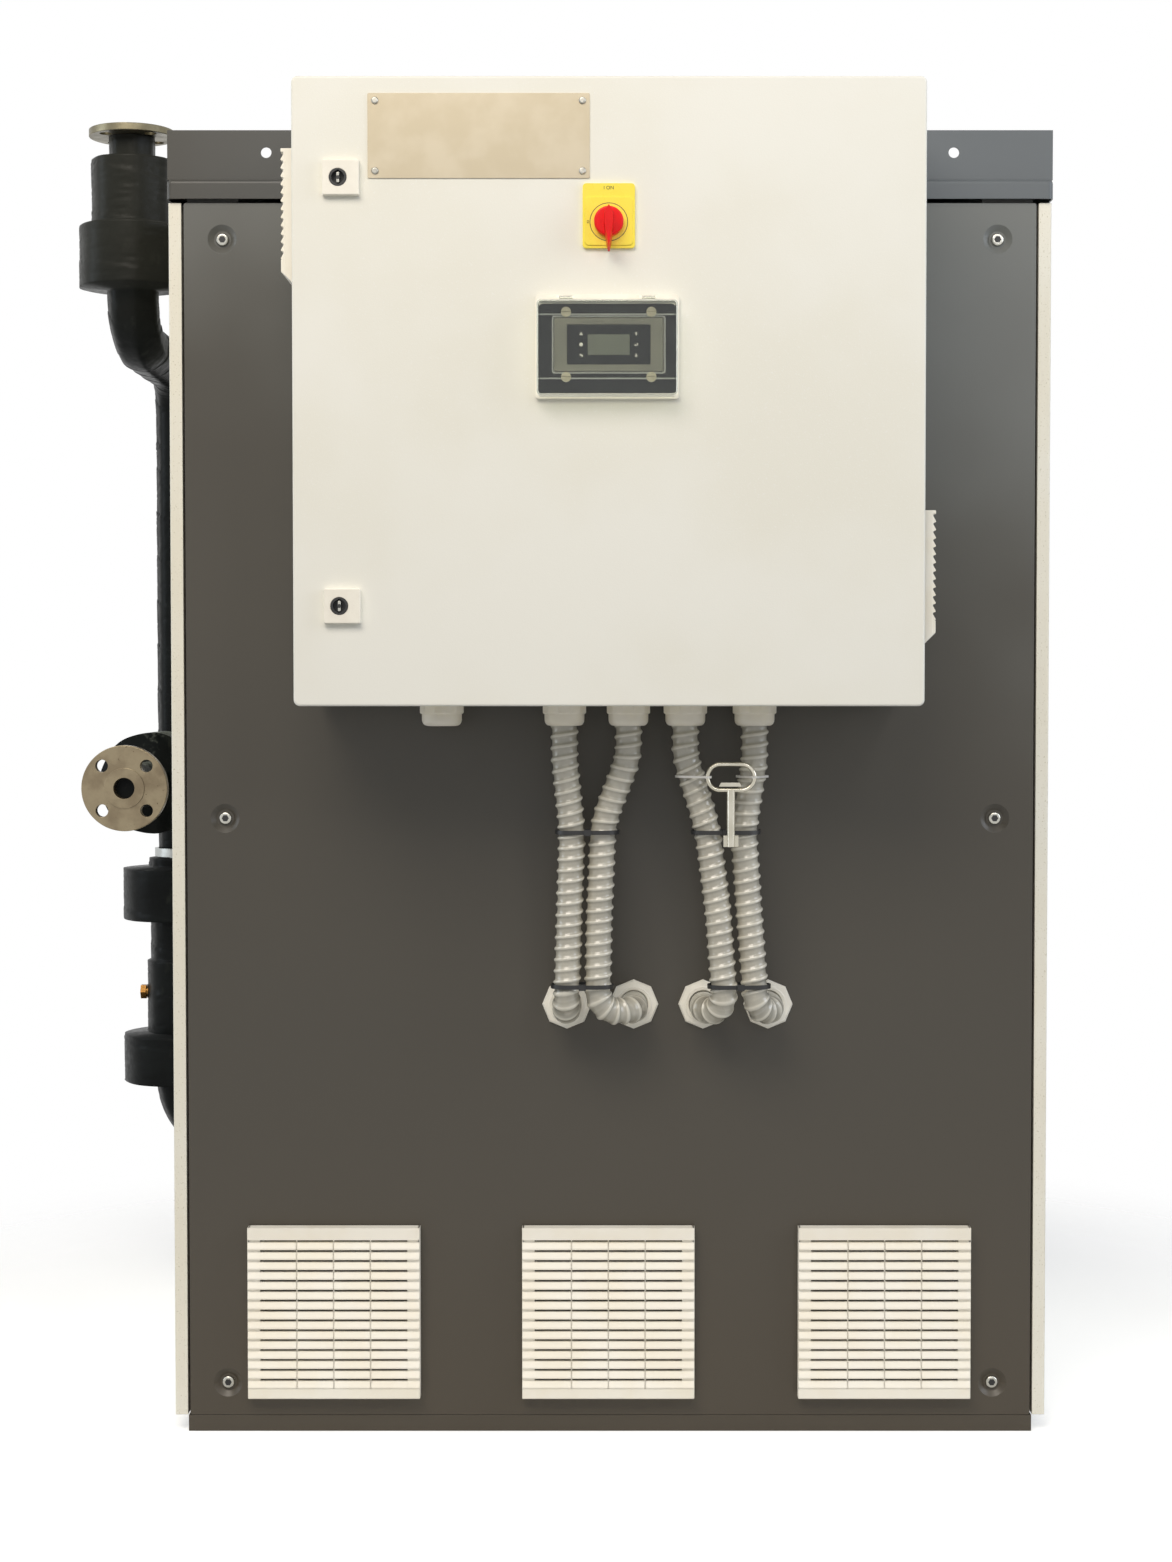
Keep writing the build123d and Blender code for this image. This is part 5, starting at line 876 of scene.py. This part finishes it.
# Nuts on the front panel: eight flats, a stepped lip round the conduit, and a lock nut behind the panel
nutShape = [(12.7, -2, 0), (19.0, -2, 0), (19.0, -1.2, 0), (24.0, -1.2, 6), (24.0, 4.0, 6), (19.0, 4.0, 0),
            (19.0, 5.5, 0), (26.6, 5.5, 8), (27.0, 6.2, 8), (27.0, 9.2, 8), (25.4, 11.6, 8), (21.6, 12.6, 0),
            (20.6, 13.6, 0), (17.2, 13.6, 0), (16.7, 12.8, 0), (16.7, 6, 0), (12.7, 6, 0)]
nuts = gathered("conduitNuts", [turned("nut", nutShape)], [
    placeAt(x, -384.4, 511, 90, "X") @ Matrix.Rotation(math.pi / 8, 4, "Z") for x in (-51, 28, 110, 187)
])
mount(nuts, "cabinet", looks["whitePlastic"])
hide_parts("conduit_nuts")
print("grilles, glands and nuts made")

# Lagging: foam sleeves under spirals of tape, sizes in mm
laggingShape = {
    "Tape": 62 * mm, "Step": 0.9 * mm, "Lump": 2.2 * mm, "Lump size": 70 * mm,
    "Wrinkle": 0.5 * mm, "Facet": 1.4 * mm, "Material": looks["lagging"],
}
pipeX, valveY, riserY = -610.0, -115.0, 240.0
laggingTree = tapedLaggingTree()


# A lagging piece along a path, with a radius at each stretch: pairs of path length in mm and radius
def lagging(name, corners, bends, stretches, **changes):
    path = filletedPath(corners, bends, 2.4)
    radii = []
    travelled = 0.0
    last = path[0]
    for place in path:
        travelled += (place - last).length
        last = place
        radii.append(next(radius for end, radius in stretches if travelled <= end))
    return grow(curveThrough(name, path, radii), laggingTree, {**laggingShape, **changes})


topZ = 1585.6
upper = lagging(
    "upperLagging",
    [(pipeX, valveY, topZ), (pipeX, valveY, 1330), (pipeX, riserY, 1330), (pipeX, riserY, 1222)],
    (65, 65),
    [(topZ - 1559, 31), (topZ - 1473, 53.5), (topZ - 1394, 69), (9999, 34.5)],
)
mount(upper, "cabinet", looks["lagging"])
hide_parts("upper_insulation")

riserTop = 1228.0
riser = lagging(
    "riserLagging",
    [(pipeX, riserY, riserTop), (pipeX, riserY, 249), (-518, riserY, 249)],
    (75.5,),
    [(riserTop - 658, 34.5), (riserTop - 645, 33), (riserTop - 632, 48.5), (riserTop - 630, 44),
     (riserTop - 556, 84), (riserTop - 396, 44), (riserTop - 325, 84), (9999, 38)],
)
mount(riser, "cabinet", looks["lagging"])
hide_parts("riser_insulation")

branch = lagging(
    "branchLagging",
    [(pipeX, -184, 759), (pipeX, riserY, 759)],
    (),
    [(169, 31), (269, 69), (9999, 33)],
)
mount(branch, "cabinet", looks["lagging"])
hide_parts("riser_insulation")

strainerWrap = lagging(
    "strainerWrap",
    [(pipeX, riserY, 555.5), (pipeX, riserY, 396.5)],
    (),
    [(57.5, 46), (9999, 51)],
    Lump=1.6 * mm,
)
mount(strainerWrap, "cabinet", looks["lagging"])
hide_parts("strainer")
print("lagging made")

# Display, switch, lock and key details, sizes in mm
displayX, displayZ, displayFaceY = -1.4, 1259, -610.0
display = {"glass": (91, 43), "screen": (45.6, 22.2), "bezelHole": (120.4, 59.4), "seam": (124, 63),
           "seamHole": (121, 60), "frame": (148.4, 99), "frameCentre": (-3, 1254), "holeGap": 0.15}
displayKeys = ["key_alarm", "key_program", "key_escape", "key_up", "key_enter", "key_down"]
glass = slab("displayGlass", roundedOutline((displayX, displayZ), display["glass"], 1.5),
             displayFaceY - 0.15, 0.5)
# Its six holes leave room for the keys to go in
keyBoxes = [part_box(key) for key in displayKeys]
holeRadius = (keyBoxes[0][1][0] - keyBoxes[0][0][0]) / 2 / mm + display["holeGap"]
holeTurns = [k * math.pi / 24 for k in range(48)]
holeOutline = [(holeRadius * math.cos(turn), holeRadius * math.sin(turn)) for turn in holeTurns]
keyHoles = gathered("keyHoles", [slab("hole", holeOutline, displayFaceY - 5, 10)], [
    placeAt((low[0] + high[0]) / 2 / mm, 0, (low[2] + high[2]) / 2 / mm) for low, high in keyBoxes
])
cut = glass.modifiers.new("cut", "BOOLEAN")
cut.operation = "DIFFERENCE"
cut.object = keyHoles
glass = settled(glass)
bpy.data.objects.remove(keyHoles)
mount(glass, "enclosure_door", looks["displayBlack"])
screen = slab("displayScreen", roundedOutline((displayX, displayZ), display["screen"], 0.6),
              displayFaceY - 0.2, 0.2)
mount(screen, "enclosure_door", looks["screenGlass"])

# The frame is black under its lid
back = ring("windowBack", roundedOutline(display["frameCentre"], display["frame"], 4),
            roundedOutline((displayX, displayZ), display["bezelHole"], 1), -610.25, 0.3)
mount(back, "enclosure_door", looks["displayBlack"])

# The window's pale edges: the seam round the bezel and two long ribs over the dark frame
seam = ring("bezelSeam", roundedOutline((displayX, displayZ), display["seam"], 3),
            roundedOutline((displayX, displayZ), display["seamHole"], 2), -610.6, 0.8)
mount(seam, "enclosure_door", looks["greyPlastic"])
ribs = bars("windowRibs", [([(-611, z), (-611, z + 1.6), (-610, z + 1.6), (-610, z)], -76.5, 70.5)
                           for z in (1221.5, 1291)])
mount(ribs, "enclosure_door", looks["greyPlastic"])

# White print on the display's six keys, in mm about each key's middle
glyphs = {
    "key_alarm": [(0, 2.1), (-2.1, -1.6), (2.1, -1.6)],
    "key_program": [(2 * math.cos(k * math.pi / 8), 2 * math.sin(k * math.pi / 8)) for k in range(16)],
    "key_escape": [(-2, 0.6), (0, 2), (0, 1.1), (1.8, 0.4), (1.6, -1.4), (0.5, -2), (0.7, -0.6), (0, -0.2),
                   (0, -0.9)],
    "key_up": [(0, 2), (-1.6, 0.2), (-0.6, 0.2), (-0.6, -1.8), (0.6, -1.8), (0.6, 0.2), (1.6, 0.2)],
    "key_enter": [(1.9, 1.6), (0.8, 1.6), (0.8, -0.1), (-0.5, -0.1), (-0.5, 0.7), (-2, -0.6), (-0.5, -1.8),
                  (-0.5, -1), (1.9, -1)],
    "key_down": [(0, -2), (1.6, -0.2), (0.6, -0.2), (0.6, 1.8), (-0.6, 1.8), (-0.6, -0.2), (-1.6, -0.2)],
}
for key, outline in glyphs.items():
    low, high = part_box(key)
    middleX, middleZ = (low[0] + high[0]) / 2 / mm, (low[2] + high[2]) / 2 / mm
    mark = slab(key.replace("key_", "print_"), [(middleX + x, middleZ + z) for x, z in outline],
                low[1] / mm - 0.06, 0.12)
    mount(mark, key, looks["whitePlastic"])

# Silver double bits in the locks' black inserts
for body, z in (("lower_lock", 974.5), ("upper_lock", 1440.0)):
    bit = slab(body + "Bit", roundedOutline((-296, z), (3.0, 11), 0.7), -612.4, 7)
    mount(bit, body, looks["polishedSteel"])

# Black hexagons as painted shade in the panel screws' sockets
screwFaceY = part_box("panel_screws")[0][1] / mm
sockets = [(x, z) for x in (-455, 455) for z in (58, 731, 1411)]
hexagon = [(4.2 * math.cos(k * math.pi / 3), 4.2 * math.sin(k * math.pi / 3)) for k in range(6)]
socket = slab("socket", hexagon, screwFaceY - 0.05, 0.4)
mount(gathered("socketShade", [socket], [placeAt(x, 0, z) for x, z in sockets]), "cabinet",
      looks["blackPlastic"])

pointer = slab("knobPointer", roundedOutline((-1.3, 1398.5), (1.6, 14), 0.5), -634.4, 0.5)
mount(pointer, "main_switch", looks["whitePlastic"])

keyPlate = slab("keyTag", [(149, 773.5), (146.5, 778), (125.5, 778), (123, 773.5)], -523.2, 3.4)
mount(keyPlate, "hanging_key", looks["chrome"])


# Raised print on a face towards the front
def legend(name, words, size, place, body, look):
    text = bpy.data.curves.new(name, "FONT")
    text.body = words
    text.size = size * mm
    text.extrude = 0.06 * mm
    text.align_x = "CENTER"
    text.align_y = "CENTER"
    holder = addToScene(bpy.data.objects.new(name, text))
    graph = bpy.context.evaluated_depsgraph_get()
    mesh = bpy.data.meshes.new_from_object(holder.evaluated_get(graph))
    bpy.data.objects.remove(holder)
    mesh.transform(Matrix.Translation([c * mm for c in place]) @ Matrix.Rotation(math.pi / 2, 4, "X"))
    return mount(addToScene(bpy.data.objects.new(name, mesh)), body, looks[look])


legend("switchOn", "I ON", 5.4, (-1.3, -609.05, 1429), "enclosure_door", "blackPlastic")
legend("switchOff", "0", 5.0, (-24, -610.25, 1392), "enclosure_door", "blackPlastic")
print("details made")

# Camera: as far and as high as the photograph's, in metres, degrees and mm, with a shift in the
# photograph's pixels
view = {"place": (0, -3.46, 0.885), "down": 2.05, "sensor": 36, "lens": 59.92, "shift": -24, "height": 1562}
camera = addToScene(bpy.data.objects.new("camera", bpy.data.cameras.new("camera")))
camera.location = view["place"]
camera.rotation_euler = (math.radians(90 - view["down"]), 0, 0)
camera.data.sensor_width = view["sensor"]
camera.data.lens = view["lens"]
camera.data.shift_x = view["shift"] / view["height"]
bpy.context.scene.camera = camera
bpy.context.scene.view_settings.view_transform = "Standard"


# Light and stage
def areaLight(name, place, aim, size, power, colour):
    data = bpy.data.lights.new(name, "AREA")
    data.shape = "RECTANGLE"
    data.size, data.size_y = size
    data.energy = power
    data.color = linear(colour)[:3]
    lamp = addToScene(bpy.data.objects.new(name, data))
    lamp.location = place
    lamp.rotation_euler = (Vector(aim) - Vector(place)).to_track_quat("-Z", "Y").to_euler()
    return lamp


areaLight("keyLight", (-0.9, -3.0, 3.3), (0, -0.3, 0.9), (2.4, 1.6), 84, "#fff6ea")
areaLight("rightLight", (3.0, -1.6, 1.9), (0, -0.3, 0.8), (1.6, 2.2), 38, "#e8f1ff")
areaLight("leftLight", (-3.0, -0.6, 1.6), (-0.5, 0, 0.8), (1.2, 2.4), 22, "#e6f3ff")
# A small window whose image shows on glossy ribs and edges
areaLight("windowLight", (1.1, -3.3, 2.5), (0, -0.4, 0.8), (0.5, 0.8), 11, "#ffffff")

world = bpy.data.worlds.new("world")
world.use_nodes = True
bpy.context.scene.world = world
world.node_tree.nodes.clear()
rays = addNode(world.node_tree, "ShaderNodeLightPath")
seen = addNode(world.node_tree, "ShaderNodeMath", [
    rays.outputs["Is Camera Ray"], rays.outputs["Is Transmission Ray"],
], operation="MAXIMUM")
seen = addNode(world.node_tree, "ShaderNodeMath", [seen, rays.outputs["Is Glossy Ray"]], operation="MAXIMUM")
worldLight = {"onObject": 0.24, "seen": 1.0}
strength = addNode(world.node_tree, "ShaderNodeMapRange", [
    seen, 0.0, 1.0, worldLight["onObject"], worldLight["seen"],
])
sky = addNode(world.node_tree, "ShaderNodeBackground", {"Color": (1, 1, 1, 1), "Strength": strength})
addNode(world.node_tree, "ShaderNodeOutputWorld", {"Surface": sky})


stage = {"colour": "#f4f4f2", "second": "#f9f9f8", "lift": 0.44, "fade": (0.8, 1.5), "half": 2.2}


def paleFloor():
    material, tree, place, shader, output = newMaterial("paleFloor")
    cloud = grain(tree, place, 400, 2.0)
    base = blend(tree, cloud, 0.3, 0.7, linear(stage["colour"]), linear(stage["second"]))
    finish(tree, shader, base, roughness=0.8, specular=0.1)
    # Seen by the camera the floor is as white as the background, apart from the object's shadow
    seenFloor = addNode(tree, "ShaderNodeLightPath").outputs["Is Camera Ray"]
    lift = addNode(tree, "ShaderNodeMath", [seenFloor, stage["lift"]], operation="MULTIPLY")
    shader.inputs["Emission Color"].default_value = (1, 1, 1, 1)
    tree.links.new(lift.outputs[0], shader.inputs["Emission Strength"])
    # The floor fades out between 0.8 and 1.5 m from the object's middle
    far = addNode(tree, "ShaderNodeVectorMath", [place], operation="LENGTH").outputs["Value"]
    fade = addNode(tree, "ShaderNodeMapRange", [
        far, *stage["fade"], 0.0, 1.0,
    ], interpolation_type="SMOOTHSTEP")
    clear = addNode(tree, "ShaderNodeBsdfTransparent")
    mixed = addNode(tree, "ShaderNodeMixShader", [fade, shader, clear])
    tree.links.new(mixed.outputs[0], output.inputs["Surface"])
    return material


quarters = ((-1, -1), (1, -1), (1, 1), (-1, 1))
floorCorners = [(x * stage["half"], y * stage["half"], -0.0005) for x, y in quarters]
floor = meshPiece("floor", floorCorners, [(0, 1, 2, 3)])
dress(floor, paleFloor())

print("scene ready")
